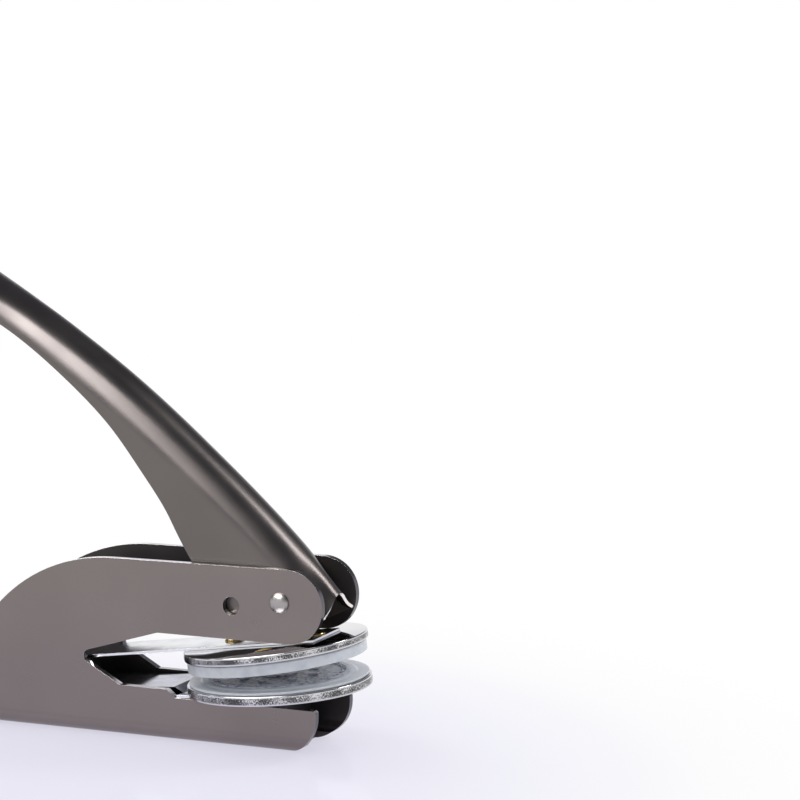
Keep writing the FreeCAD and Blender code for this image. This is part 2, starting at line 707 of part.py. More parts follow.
def thicken(wire, first_side):
    """Face between a path and its copy one clip thickness outside; first_side tells which side."""
    for offset in (CLIP_SHEET, -CLIP_SHEET):
        face = wire.makeOffset2D(offset, 0, True, True)
        start = wire.Vertexes[0].Point
        if (face.BoundBox.ZMin < wire.BoundBox.ZMin - SEATED_FIT
                and face.isInside(start + first_side * (CLIP_SHEET / 2), CLIP_SHEET, True)):
            return face
    raise ValueError("the clip's path has no outer side")


# Anvil

def screw_places():
    middle = -(NOTCH_REACH - ANVIL_REAR_GAP + ANVIL_FRONT_REACH) / 2
    return (middle - SCREW_SPACING / 2, middle + SCREW_SPACING / 2)


def screw(x, growth):
    """One countersunk screw, or with growth the hole that takes it."""
    up = FreeCAD.Vector(0, 0, 1)
    foot = place(x, 0, 0)
    head = Part.makeCone(SCREW_HEAD_DIAMETER / 2 + growth, SCREW_DIAMETER / 2 + growth,
                         SCREW_HEAD_HEIGHT, foot, up)
    shank = Part.makeCylinder(SCREW_DIAMETER / 2 + growth, SCREW_LENGTH + growth, foot, up)
    return clean(head.fuse(shank))


def anvil_screws():
    return Part.makeCompound([screw(x, 0) for x in screw_places()])


def anvil_block():
    """Block between the cheeks whose sloped top carries the lower arm of the clip."""
    rear = ANVIL_REAR_GAP - NOTCH_REACH
    front = -ANVIL_FRONT_REACH
    outline = Part.makePolygon([
        place(rear, 0, BODY_SHEET),
        place(front, 0, BODY_SHEET),
        place(front, 0, seat_line_height(front, 0)),
        place(rear, 0, seat_line_height(rear, 0)),
        place(rear, 0, BODY_SHEET),
    ])
    width = INNER_WIDTH - 2 * SEATED_FIT
    face = Part.Face(outline)
    face.translate(Y_AXIS * (-width / 2))
    body = face.extrude(Y_AXIS * width)
    body = body.makeChamfer(ANVIL_CHAMFER, low_long_edges(body, BODY_SHEET))
    for x in screw_places():
        body = body.cut(screw(x, SEATED_FIT))
    return clean(body.cut(rivet_pockets()))


def rivet_pockets():
    """Pockets for the heads of the lower clip rivets, where they lie over the anvil."""
    radius = CLIP_RIVET_HEAD_DIAMETER / 2 + SEAT_CLEARANCE
    depth = CLIP_RIVET_HEAD_HEIGHT + SEAT_CLEARANCE
    tools = []
    for x in (-CLIP_RIVET_SPACING / 2, CLIP_RIVET_SPACING / 2):
        tools.append(Part.makeCylinder(radius, depth + OVERRUN, FreeCAD.Vector(x, 0, -depth)))
    return on_seat(Part.makeCompound(tools))


NODES = {
    "body_frame": body_frame,
    "pivot_rivet": pivot_rivet,
    "pivot_washers": pivot_washers,
    "anvil_block": anvil_block,
    "anvil_screws": anvil_screws,
    "clip_spring": clip_spring,
    "lower_carrier_disc": lower_carrier_disc,
    "lower_die_pad": lower_die_pad,
    "lower_die": lower_die,
    "lower_clip_rivets": lower_clip_rivets,
    "lever": lever,
    "pivot_spacer": pivot_spacer,
    "roller_pin": roller_pin,
    "roller_washers": roller_washers,
    "presser_roller": presser_roller,
    "clip_upper_arm": clip_upper_arm,
    "upper_carrier_disc": upper_carrier_disc,
    "upper_die_pad": upper_die_pad,
    "upper_die": upper_die,
    "upper_clip_rivets": upper_clip_rivets,
}


def main():
    os.makedirs("parts", exist_ok=True)
    for name, make in NODES.items():
        shape = make()
        shape.exportStep("parts/" + name + ".step")
        box = shape.BoundBox
        print(name, len(shape.Solids), shape.isValid(), round(shape.Volume),
              [round(value) for value in (box.XMin, box.XMax, box.YMin, box.YMax, box.ZMin, box.ZMax)])


main()
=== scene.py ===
"""Looks of a hand-held seal embosser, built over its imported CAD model."""

import json
import math
from contextlib import contextmanager

import bmesh
import bpy
import numpy as np
from bpy.props import FloatProperty, FloatVectorProperty, IntProperty, PointerProperty, StringProperty
from bpy.types import Operator, Panel, PropertyGroup
from mathutils import Matrix, Vector


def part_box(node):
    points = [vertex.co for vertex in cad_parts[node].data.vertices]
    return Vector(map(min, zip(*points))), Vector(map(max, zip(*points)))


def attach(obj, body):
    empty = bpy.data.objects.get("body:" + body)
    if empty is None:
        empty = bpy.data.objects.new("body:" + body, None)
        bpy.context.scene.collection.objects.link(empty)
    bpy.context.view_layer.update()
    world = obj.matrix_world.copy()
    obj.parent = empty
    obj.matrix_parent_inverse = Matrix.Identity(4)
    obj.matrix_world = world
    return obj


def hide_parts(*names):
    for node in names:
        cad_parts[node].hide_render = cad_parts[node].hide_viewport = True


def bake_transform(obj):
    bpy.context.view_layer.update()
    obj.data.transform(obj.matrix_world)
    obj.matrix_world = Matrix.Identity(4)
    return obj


bl_info = {
    "name": "Seal embosser",
    "version": (1, 0, 0),
    "blender": (4, 5, 0),
    "location": "View3D > Sidebar > Embosser",
    "description": "Builds the pieces, finishes and studio of a hand-held seal embosser",
    "category": "Object",
}

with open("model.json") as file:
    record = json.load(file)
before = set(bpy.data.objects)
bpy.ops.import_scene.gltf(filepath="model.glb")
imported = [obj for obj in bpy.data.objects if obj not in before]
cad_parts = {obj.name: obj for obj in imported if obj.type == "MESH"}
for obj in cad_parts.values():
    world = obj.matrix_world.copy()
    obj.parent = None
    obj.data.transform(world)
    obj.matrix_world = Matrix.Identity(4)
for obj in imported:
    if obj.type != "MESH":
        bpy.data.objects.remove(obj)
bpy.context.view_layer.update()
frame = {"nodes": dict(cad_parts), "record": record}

MM = 0.001
PLACES = {joint["name"]: joint for joint in frame["record"]["behaviour"]["joints"]}
PIVOT = Vector(PLACES["lever_pivot"]["pos_m"])
HINGE = Vector(PLACES["upper_die_flex"]["pos_m"])
OPEN_ANGLE = math.radians(PLACES["upper_die_flex"]["range_deg"][1])
WELD = 0.001 * MM
SHARP_ANGLE = math.radians(35)
WHITE = (1, 1, 1, 1)


def box_size(node):
    low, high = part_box(node)
    return Vector(high) - Vector(low)


def box_middle(node):
    low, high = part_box(node)
    return (Vector(low) + Vector(high)) / 2


# Settings that a user would change

def length_setting(name, description, size):
    """A length, given in mm."""
    return FloatProperty(name=name, description=description, default=size * MM, unit="LENGTH")


def angle_setting(name, description, degrees):
    """An angle, given in degrees."""
    return FloatProperty(name=name, description=description, default=math.radians(degrees),
                         subtype="ANGLE")


def colour_setting(name, code):
    return StringProperty(name=name, description="sRGB colour", default=code)


class LeverSettings(PropertyGroup):
    sheet: length_setting("Sheet", "Thickness of the lever's sheet", 1.5)
    reach: length_setting("Reach", "Length of the ridge along the body", 128)
    rise: length_setting("Rise", "Height of the grip end over the pivot", 95)
    grip_width: length_setting("Grip width", "Widest part of the grip", 30.5)
    nose_arch: length_setting("Nose arch", "Rise of the crown near the nose", 5.2)
    neck_arch: length_setting("Neck arch", "Rise of the crown at the neck", 7.2)
    edge_round: length_setting("Edge rounding", "Rounding of the sheet's edges", 0.3)


class BodySettings(PropertyGroup):
    sheet: length_setting("Sheet", "Thickness of the body's sheet", 1.8)
    edge_round: length_setting("Edge rounding", "Rounding of the sheared edges, which carries the painted highlight", 0.4)


class DieSettings(PropertyGroup):
    lower_tilt: angle_setting("Tilt", "Slope of the lower die, nose up", 4.2)
    carrier_diameter: length_setting("Carrier", "Diameter of the steel carriers", 46)
    lower_carrier: length_setting("Lower carrier", "Its thickness", 2.4)
    upper_carrier: length_setting("Upper carrier", "Its thickness", 2.0)
    die_diameter: length_setting("Die", "Diameter of the resin dies", 44.8)
    pad: length_setting("Adhesive film", "Thickness of the film under each die", 0.25)
    lower_die: length_setting("Lower die", "Height of the lower die", 1.15)
    upper_die: length_setting("Upper die", "Height of the upper die", 2.7)
    plateau: length_setting("Plateau", "Diameter of the raised middle", 38)
    plateau_height: length_setting("Plateau height", "Height of the raised middle", 0.6)
    relief: length_setting("Relief", "Height of the pattern", 0.25)
    ring_width: length_setting("Ring", "Width of the pattern's plain ring", 1.2)
    petals: IntProperty(name="Petals", description="Discs in the rosette", default=8, min=3)
    beads: IntProperty(name="Beads", description="Beads inside the ring", default=48, min=3)


class ClipSettings(PropertyGroup):
    sheet: length_setting("Strip", "Thickness of the spring strip", 0.7)
    edge_round: length_setting("Edge rounding", "Rounding of the strip's edges", 0.12)
    bend_run: length_setting("Bending run", "Length that bends, to each side of the bending line", 6)
    rivet_spacing: length_setting("Rivet spacing", "Distance between the brass rivets", 22)
    rivet_head: length_setting("Rivet head", "Diameter of a brass rivet's head", 5.4)
    rivet_height: length_setting("Rivet height", "Height of a brass rivet's head", 0.9)


class FinishSettings(PropertyGroup):
    plate: colour_setting("Body plate", "867D7B")
    # Darker plate colour for the body's inner faces: painted shade.
    inside: colour_setting("Body inside, painted shade", "504C4C")
    lever: colour_setting("Lever", "706A68")
    edge: colour_setting("Sheared edges", "55535A")
    # Near-white colour of the rounded edges and the up-facing edge faces: a painted highlight.
    edge_highlight: colour_setting("Edges, painted highlight", "F2EEEA")
    zinc: colour_setting("Rivets and pins", "A6A2A0")
    steel: colour_setting("Carriers", "D2D2D4")
    chrome: colour_setting("Clip", "E8E9EC")
    resin: colour_setting("Dies", "E8ECF2")
    brass: colour_setting("Brass", "C9AE78")


class StageSettings(PropertyGroup):
    camera: FloatVectorProperty(
        name="Camera", description="Place of the camera from the pivot, on the floor",
        default=(324.42 * MM, -702.03 * MM, 191.54 * MM), unit="LENGTH")
    azimuth: angle_setting("Azimuth", "Turn of the view from the front", 22.95)
    elevation: angle_setting("Elevation", "Slope of the view, downwards", 7.78)
    lens: FloatProperty(name="Lens", description="Focal length in mm", default=143.7, unit="CAMERA")
    floor: colour_setting("Floor", "F4F4FA")


SETTINGS = {
    "embosser_lever": LeverSettings,
    "embosser_body": BodySettings,
    "embosser_dies": DieSettings,
    "embosser_clip": ClipSettings,
    "embosser_finish": FinishSettings,
    "embosser_stage": StageSettings,
}


# Node and material helpers

def linear(code):
    """A linear colour from an sRGB hex code."""
    values = [int(code[i:i + 2], 16) / 255 for i in (0, 2, 4)]
    return [v / 12.92 if v <= 0.04045 else ((v + 0.055) / 1.055) ** 2.4 for v in values] + [1.0]


def add_node(tree, kind, sockets=None, stops=(), **settings):
    """One node with its settings; sockets holds values, or output sockets to link, and stops the
    places and colours of a colour ramp, in rising order."""
    node = tree.nodes.new(kind)
    for name, value in settings.items():
        setattr(node, name, value)
    for name, value in (sockets or {}).items():
        if isinstance(value, bpy.types.NodeSocket):
            tree.links.new(value, node.inputs[name])
        else:
            node.inputs[name].default_value = value
    if stops:
        steps = node.color_ramp.elements
        steps[0].position, steps[0].color = stops[0]
        steps[1].position, steps[1].color = stops[-1]
        for place, colour in stops[1:-1]:
            steps.new(place).color = colour
    return node


def start_material(name, sockets):
    """A material with its output and a Principled shader, and the values of the shader's sockets."""
    material = bpy.data.materials.new(name)
    material.use_nodes = True
    tree = material.node_tree
    tree.nodes.clear()
    shader = add_node(tree, "ShaderNodeBsdfPrincipled", sockets)
    add_node(tree, "ShaderNodeOutputMaterial", {"Surface": shader.outputs["BSDF"]})
    return material, tree, shader


def place_pattern(tree, turn=(0, 0, 0), middle=(0, 0, 0)):
    """Object coordinates, centred and turned."""
    place = add_node(tree, "ShaderNodeTexCoord")
    mapping = add_node(tree, "ShaderNodeMapping", {
        "Vector": place.outputs["Object"], "Location": middle, "Rotation": turn}, vector_type="TEXTURE")
    return mapping.outputs["Vector"]


def varied_roughness(tree, shader, where, low, high, size):
    """Roughness that drifts between two values over patches of the given size."""
    cloud = add_node(tree, "ShaderNodeTexNoise", {"Vector": where, "Scale": 1 / size, "Detail": 4.0})
    spread = add_node(tree, "ShaderNodeMapRange", {
        "Value": cloud.outputs["Fac"], "From Min": 0.3, "From Max": 0.7, "To Min": low, "To Max": high})
    tree.links.new(spread.outputs["Result"], shader.inputs["Roughness"])


def finish_surface(tree, shader, height, strength, depth, colour=None):
    """Gives the surface a fine relief, and its colour where a pattern makes it."""
    bump = add_node(tree, "ShaderNodeBump", {"Height": height, "Strength": strength, "Distance": depth})
    tree.links.new(bump.outputs["Normal"], shader.inputs["Normal"])
    if colour is not None:
        tree.links.new(colour, shader.inputs["Base Color"])


def darker(colour, share):
    return [value * share for value in colour[:3]] + [1]


# Materials

def plated_steel(name, code, low, high):
    """Black-nickel plate over pressed steel, satin: soft wide reflections, a faint grain from the
    blasted sheet, and roughness that drifts a little from handling."""
    drift_size = 30 * MM
    handling_size = 12 * MM
    grain = 0.5 * MM
    grain_depth = 0.0008 * MM
    material, tree, shader = start_material(name, {"Metallic": 1.0})
    where = place_pattern(tree)
    drift = add_node(tree, "ShaderNodeTexNoise", {"Vector": where, "Scale": 1 / drift_size, "Detail": 2.0})
    base = linear(code)
    tone = add_node(tree, "ShaderNodeValToRGB", {"Fac": drift.outputs["Fac"]},
                    stops=((0.35, darker(base, 0.93)), (0.65, base)))
    varied_roughness(tree, shader, where, low, high, handling_size)
    speck = add_node(tree, "ShaderNodeTexNoise", {"Vector": where, "Scale": 1 / grain, "Detail": 2.0})
    finish_surface(tree, shader, speck.outputs["Fac"], 0.35, grain_depth, tone.outputs["Color"])
    return material


def bright_metal(name, code, low, high):
    """Plain metal with fine polishing hairlines: sharp but slightly broken reflections."""
    patch = 5 * MM
    scratch = 0.6 * MM
    scratch_depth = 0.002 * MM
    material, tree, shader = start_material(name, {"Metallic": 1.0, "Base Color": linear(code)})
    where = place_pattern(tree)
    varied_roughness(tree, shader, where, low, high, patch)
    stretch = add_node(tree, "ShaderNodeMapping", {"Vector": where, "Scale": (0.06, 1.0, 1.0)})
    hair = add_node(tree, "ShaderNodeTexNoise", {
        "Vector": stretch.outputs["Vector"], "Scale": 1 / scratch, "Detail": 3.0})
    finish_surface(tree, shader, hair.outputs["Fac"], 0.25, scratch_depth)
    return material


def painted_highlight_edge(name, bright, plain, start, end):
    """Near-white edge colour along the top of the body, plain round its nose: a painted highlight."""
    material = bright_metal(name, bright, 0.1, 0.18)
    tree = material.node_tree
    shader = next(node for node in tree.nodes if node.type == "BSDF_PRINCIPLED")
    along = add_node(tree, "ShaderNodeSeparateXYZ", {"Vector": place_pattern(tree)}).outputs["X"]
    fade = add_node(tree, "ShaderNodeMapRange", {"Value": along, "From Min": start, "From Max": end})
    colour = add_node(tree, "ShaderNodeMix", {
        0: fade.outputs["Result"], 6: linear(bright), 7: linear(plain)}, data_type="RGBA")
    tree.links.new(colour.outputs[2], shader.inputs["Base Color"])
    return material


def turned_steel(name, code, middle, tilt, radius, half):
    """Zinc-bright steel blank: mirror faces with faint turning rings, and a rim with upright shear
    marks in its relief, whose bright and dark flecks are painted into its colour as a painted
    reflection. Flecks and rings are coarser than on a real blank, so that they show."""
    corner = 0.12 * MM
    edge_start = half - 0.30 * MM
    edge_end = half - 0.55 * MM
    fleck = 0.24 * MM
    patch = 7 * MM
    ring = 0.8 * MM
    mark_depth = 0.004 * MM
    material, tree, shader = start_material(name, {"Metallic": 1.0})
    where = place_pattern(tree, (0, -tilt, 0), middle)
    part = add_node(tree, "ShaderNodeSeparateXYZ", {"Vector": where}).outputs
    across = add_node(tree, "ShaderNodeCombineXYZ", {"X": part["X"], "Y": part["Y"]})
    reach = add_node(tree, "ShaderNodeVectorMath", {
        0: across.outputs[0]}, operation="LENGTH").outputs["Value"]
    far_out = add_node(tree, "ShaderNodeMath", {0: reach, 1: radius - corner}, operation="GREATER_THAN")
    height = add_node(tree, "ShaderNodeMath", {0: part["Z"]}, operation="ABSOLUTE")
    off_edge = add_node(tree, "ShaderNodeMapRange", {
        "Value": height.outputs[0], "From Min": edge_start, "From Max": edge_end})
    on_rim = add_node(tree, "ShaderNodeMath", {
        0: far_out.outputs[0], 1: off_edge.outputs["Result"]}, operation="MULTIPLY").outputs[0]
    angle = add_node(tree, "ShaderNodeMath", {0: part["Y"], 1: part["X"]}, operation="ARCTAN2")
    along = add_node(tree, "ShaderNodeMath", {0: angle.outputs[0], 1: radius}, operation="MULTIPLY")
    wrapped = add_node(tree, "ShaderNodeCombineXYZ", {"X": along.outputs[0], "Y": part["Z"]}).outputs[0]
    marks = add_node(tree, "ShaderNodeMapping", {"Vector": wrapped, "Scale": (1, 0.5, 1)})
    flecks = add_node(tree, "ShaderNodeTexNoise", {
        "Vector": marks.outputs[0], "Scale": 1 / fleck, "Detail": 4.0, "Roughness": 0.6}).outputs["Fac"]
    patches = add_node(tree, "ShaderNodeTexNoise", {
        "Vector": wrapped, "Scale": 1 / patch, "Detail": 1.0}).outputs["Fac"]
    # Dark and bright flecks on the rim, painted into the colour: a painted reflection of the surroundings
    # over the real shear marks.
    sheared = add_node(tree, "ShaderNodeMath", {0: patches, 1: 0.6, 2: flecks}, operation="MULTIPLY_ADD")
    bright = linear(code)
    tone = add_node(tree, "ShaderNodeValToRGB", {"Fac": sheared.outputs[0]},
                    stops=((0.77, darker(bright, 0.12)), (0.90, bright)))
    colour = add_node(tree, "ShaderNodeMix", {
        0: on_rim, 6: bright, 7: tone.outputs["Color"]}, data_type="RGBA").outputs[2]
    ringed = add_node(tree, "ShaderNodeCombineXYZ", {"X": reach})
    rings = add_node(tree, "ShaderNodeTexNoise", {
        "Vector": ringed.outputs[0], "Scale": 1 / ring, "Detail": 2.0}).outputs["Fac"]
    marked = add_node(tree, "ShaderNodeMix", {"Factor": on_rim, "A": rings, "B": flecks}, data_type="FLOAT")
    rough = add_node(tree, "ShaderNodeMapRange", {"Value": on_rim, "To Min": 0.05, "To Max": 0.24})
    tree.links.new(rough.outputs["Result"], shader.inputs["Roughness"])
    finish_surface(tree, shader, marked.outputs["Result"], 0.3, mark_depth, colour)
    return material


def milky_resin(name, code, shade, grain, depth):
    """Cast photopolymer: milky, lets light in a few millimetres, with a glossy skin. Shade is the
    darker colour of its clouds, and on the lower die's deck a painted shade from the upper die above
    it; depth is how far its crumpled skin breaks the reflections."""
    material, tree, shader = start_material(name, {
        "Roughness": 0.26, "IOR": 1.5, "Transmission Weight": 0.2, "Subsurface Weight": 0.4,
        "Subsurface Radius": (1.0, 1.0, 1.0), "Subsurface Scale": 2.5 * MM})
    where = place_pattern(tree)
    sway = (2 * grain, 2 * grain, 2 * grain)
    bend = add_node(tree, "ShaderNodeTexNoise", {"Vector": where, "Scale": 1 / (3 * grain), "Detail": 2.0})
    bent = add_node(tree, "ShaderNodeVectorMath", {
        0: bend.outputs["Color"], 1: sway, 2: where}, operation="MULTIPLY_ADD")
    shards = add_node(tree, "ShaderNodeTexVoronoi", {"Vector": bent.outputs[0], "Scale": 1 / grain})
    fine = add_node(tree, "ShaderNodeTexNoise", {"Vector": where, "Scale": 2 / grain, "Detail": 4.0})
    crumple = add_node(tree, "ShaderNodeMath", {
        0: shards.outputs["Distance"], 1: 0.6, 2: fine.outputs["Fac"]}, operation="MULTIPLY_ADD").outputs[0]
    tone = add_node(tree, "ShaderNodeValToRGB", {"Fac": crumple},
                    stops=((0.45, linear(shade)), (0.9, linear(code))))
    finish_surface(tree, shader, crumple, 0.7, depth, tone.outputs["Color"])
    return material


def matte_black(name, code):
    """Blackened steel: dull oxide, barely glossy, with a fine grain."""
    patch = 4 * MM
    grain = 0.3 * MM
    grain_depth = 0.01 * MM
    material, tree, shader = start_material(name, {"Metallic": 0.6, "Base Color": linear(code)})
    where = place_pattern(tree)
    varied_roughness(tree, shader, where, 0.45, 0.6, patch)
    speck = add_node(tree, "ShaderNodeTexNoise", {"Vector": where, "Scale": 1 / grain})
    finish_surface(tree, shader, speck.outputs["Fac"], 0.4, grain_depth)
    return material


def film_material(name):
    """Clear acrylic adhesive film: greyish at its edge, soft gloss, small trapped bubbles."""
    bubble = 0.8 * MM
    bubble_depth = 0.02 * MM
    material, tree, shader = start_material(name, {"Roughness": 0.35, "Base Color": linear("B9BCC2")})
    bubbles = add_node(tree, "ShaderNodeTexVoronoi", {"Vector": place_pattern(tree), "Scale": 1 / bubble})
    finish_surface(tree, shader, bubbles.outputs["Distance"], 0.3, bubble_depth)
    return material


# Mesh helpers

def add_object(name, data):
    piece = bpy.data.objects.new(name, data)
    bpy.context.scene.collection.objects.link(piece)
    return piece


@contextmanager
def opened(mesh):
    """The mesh opened for editing, and written back at the end."""
    shape = bmesh.new()
    shape.from_mesh(mesh)
    yield shape
    shape.to_mesh(mesh)
    shape.free()


def mesh_object(name, points, faces, material):
    mesh = bpy.data.meshes.new(name)
    mesh.from_pydata(points, [], faces)
    mesh.validate()
    mesh.update()
    piece = add_object(name, mesh)
    mesh.materials.append(material)
    mesh.shade_smooth()
    return piece


def lathe(name, profile, material, place=Matrix(), segments=160):
    """A turned shape; profile holds (radius, height) from the lower pole to the upper one."""
    points = []
    faces = []
    rows = []
    for radius, height in profile:
        if radius == 0:
            rows.append([len(points)])
            points.append(place @ Vector((0, 0, height)))
            continue
        rows.append(list(range(len(points), len(points) + segments)))
        for i in range(segments):
            turn = 2 * math.pi * i / segments
            points.append(place @ Vector((radius * math.cos(turn), radius * math.sin(turn), height)))
    for below, above in zip(rows, rows[1:]):
        for i in range(segments):
            j = (i + 1) % segments
            corners = [below[i % len(below)], below[j % len(below)],
                       above[j % len(above)], above[i % len(above)]]
            faces.append(list(dict.fromkeys(corners)))
    piece = mesh_object(name, points, faces, material)
    piece.data.set_sharp_from_angle(angle=SHARP_ANGLE)
    return piece


def rounded(profile, corner, steps=4):
    """Rounds the inner corners of a (radius, height) profile."""
    result = [profile[0]]
    for before, here, after in zip(profile, profile[1:], profile[2:]):
        a, b, c = Vector(before), Vector(here), Vector(after)
        start = b + (a - b).normalized() * min(corner, (a - b).length / 2)
        end = b + (c - b).normalized() * min(corner, (c - b).length / 2)
        for i in range(steps + 1):
            way = i / steps
            result.append(tuple(start * (1 - way) ** 2 + b * 2 * way * (1 - way) + end * way ** 2))
    return result + [profile[-1]]


def cad_copy(node, name, material):
    """A welded copy of a CAD node's mesh, with its flat faces joined."""
    flat = math.radians(0.3)
    mesh = frame["nodes"][node].data.copy()
    mesh.materials.clear()
    mesh.materials.append(material)
    with opened(mesh) as shape:
        bmesh.ops.remove_doubles(shape, verts=shape.verts, dist=WELD)
        bmesh.ops.dissolve_limit(shape, angle_limit=flat, verts=shape.verts, edges=shape.edges)
        for face in shape.faces:
            face.material_index = 0
            face.smooth = True
    return add_object(name, mesh)


def round_edges(piece, width, segments=3, angle=40):
    bevel = piece.modifiers.new("edge rounding", "BEVEL")
    bevel.width = width
    bevel.segments = segments
    bevel.limit_method = "ANGLE"
    bevel.angle_limit = math.radians(angle)
    bevel.harden_normals = True
    bevel.use_clamp_overlap = True
    return bevel


def settle(piece):
    """Applies the piece's modifiers, so that it is a plain mesh."""
    graph = bpy.context.evaluated_depsgraph_get()
    result = bpy.data.meshes.new_from_object(piece.evaluated_get(graph), depsgraph=graph)
    piece.modifiers.clear()
    old = piece.data
    piece.data = result
    bpy.data.meshes.remove(old)
    result.name = piece.name


def dress(piece, body, slot, *nodes):
    """Ties a finished piece to its body, and hides the CAD nodes that it stands for; its finish, slot, is
    not used.
    A piece that bends between two bodies has no body of its own."""
    if body:
        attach(piece, body)
    if nodes:
        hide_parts(*nodes)


def rounded_copy(node, name, material, body, slot, width, segments=3):
    """A CAD node's own form with rounded edges, shown in its place."""
    piece = cad_copy(node, name, material)
    round_edges(piece, width, segments)
    settle(piece)
    dress(piece, body, slot, node)


def paint(node, material):
    """Gives a CAD node that is shown a better material."""
    for slot in frame["nodes"][node].material_slots:
        slot.material = material


def spline(points, count, knots=None):
    """Smooth curve through points, sampled evenly along it, or at the given knots."""
    points = np.array(points, float)
    steps = np.linalg.norm(np.diff(points, axis=0), axis=1)
    at = np.concatenate([[0], np.cumsum(steps)]) if knots is None else np.array(knots, float)
    gap = np.diff(at)
    size = len(at)
    system = np.eye(size)
    pull = np.zeros_like(points)
    slope = np.diff(points, axis=0) / gap[:, None]
    for i in range(1, size - 1):
        system[i, i - 1:i + 2] = (gap[i - 1], 2 * (gap[i - 1] + gap[i]), gap[i])
        pull[i] = 6 * (slope[i] - slope[i - 1])
    bend = np.linalg.solve(system, pull)

    def value(t):
        i = np.clip(np.searchsorted(at, t) - 1, 0, size - 2)
        a = (at[i + 1] - t) / gap[i]
        b = (t - at[i]) / gap[i]
        cubic = ((a ** 3 - a)[:, None] * bend[i] + (b ** 3 - b)[:, None] * bend[i + 1])
        return a[:, None] * points[i] + b[:, None] * points[i + 1] + cubic * (gap[i] ** 2)[:, None] / 6

    if knots is not None:
        return value(np.array(count, float))
    fine = np.linspace(at[0], at[-1], count * 20)
    dense = value(fine)
    run = np.concatenate([[0], np.cumsum(np.linalg.norm(np.diff(dense, axis=0), axis=1))])
    even = np.interp(np.linspace(0, run[-1], count), run, fine)
    return value(even)


def ease(value, start, end):
    way = min(max((value - start) / (end - start), 0), 1)
    return way * way * (3 - 2 * way)


# Lever

# Ridge from nose to grip end, as shares of reach and rise from the pivot
RIDGE_SHARES = ((-0.130, -0.052), (-0.011, 0.124), (0.172, 0.349), (0.350, 0.542), (0.484, 0.665),
                (0.598, 0.758), (0.676, 0.814), (0.766, 0.873), (0.867, 0.933), (0.949, 0.976), (1, 1))
NOSE_SHARE = 0.046
# Lower edge of a flank: share of the ridge that it faces, then its place as shares of reach and rise
EDGE_SHARES = ((0.050, -0.077, -0.046), (0.072, -0.040, -0.070), (0.105, 0.010, -0.090),
               (0.140, 0.060, -0.085), (0.175, 0.115, -0.045), (0.227, 0.197, 0.093),
               (0.302, 0.250, 0.217), (0.367, 0.303, 0.316), (0.437, 0.363, 0.418),
               (0.499, 0.423, 0.497), (0.557, 0.484, 0.565), (0.614, 0.546, 0.627),
               (0.668, 0.608, 0.680), (0.830, 0.805, 0.812), (0.967, 0.980, 0.893), (1, 1.02, 0.908))
FADE_SHARES = (0.10, 0.65)
GRIP_SHARES = (0.64, 0.88)
END_TAPER_SHARE = 0.8
# Shares of half width and rise from crown to flank, for the round and the ridged sections and the
# bell-shaped one at the nose
ROUND_ARCH_SHARES = ((0.0, 0.0), (0.30, 0.045), (0.56, 0.17), (0.78, 0.38), (0.93, 0.65), (1.0, 1.0))
RIDGE_ARCH_SHARES = ((0.0, 0.0), (0.20, 0.026), (0.36, 0.09), (0.55, 0.25), (0.80, 0.60), (1.0, 1.0))
NOSE_ARCH_SHARES = ((0.0, 0.0), (0.20, 0.06), (0.36, 0.30), (0.54, 0.58), (0.76, 0.85), (1.0, 1.0))
NOSE_FADE_SHARES = (0.05, 0.13)
NOSE_RISE_SHARE = 0.85
MOST_RISE_SHARE = 0.9
END_SHARE = 0.987
RIDGE_STEPS = 800
SECTIONS = 110
ARCH_STEPS = 37
FLANK_STEPS = 10
# Above 1, the points of a flank crowd towards the crown
FLANK_CROWDING = 1.4
SHOULDER_PASSES = 24
SHOULDER_REACH = 9
CROWN_SOFTNESS = 0.15
# Share of the wall that is left at the nose, and where ahead of the pivot it gets that thin
NOSE_WALL_SHARE = 0.5
NOSE_RUN = (2 * MM, 9 * MM)
GRIP_END_ROUND = 2 * MM


def widening(share):
    taper = max(share - GRIP_SHARES[1], 0) / (1 - GRIP_SHARES[1])
    return ease(share, *GRIP_SHARES) - END_TAPER_SHARE * taper ** 2


def arch(ridged, belled):
    """Half section from crown to flank, in shares, mirrored to a full arch."""
    half = np.array(ROUND_ARCH_SHARES) * (1 - ridged) + np.array(RIDGE_ARCH_SHARES) * ridged
    half = half * (1 - belled) + np.array(NOSE_ARCH_SHARES) * belled
    full = np.concatenate([half[:0:-1] * (-1, 1), half])
    return spline(full, ARCH_STEPS)


def soften(points):
    """Rounds the shoulders between crown and flanks, and the rest of a section a little."""
    shoulders = (FLANK_STEPS, len(points) - 1 - FLANK_STEPS)
    for _ in range(SHOULDER_PASSES):
        moved = [points[0]]
        for i in range(1, len(points) - 1):
            near = 1 - min(abs(i - shoulder) for shoulder in shoulders) / SHOULDER_REACH
            between = (points[i - 1] + points[i + 1]) / 2
            moved.append(points[i].lerp(between, max(near, CROWN_SOFTNESS) / 2))
        points = moved + [points[-1]]
    return points


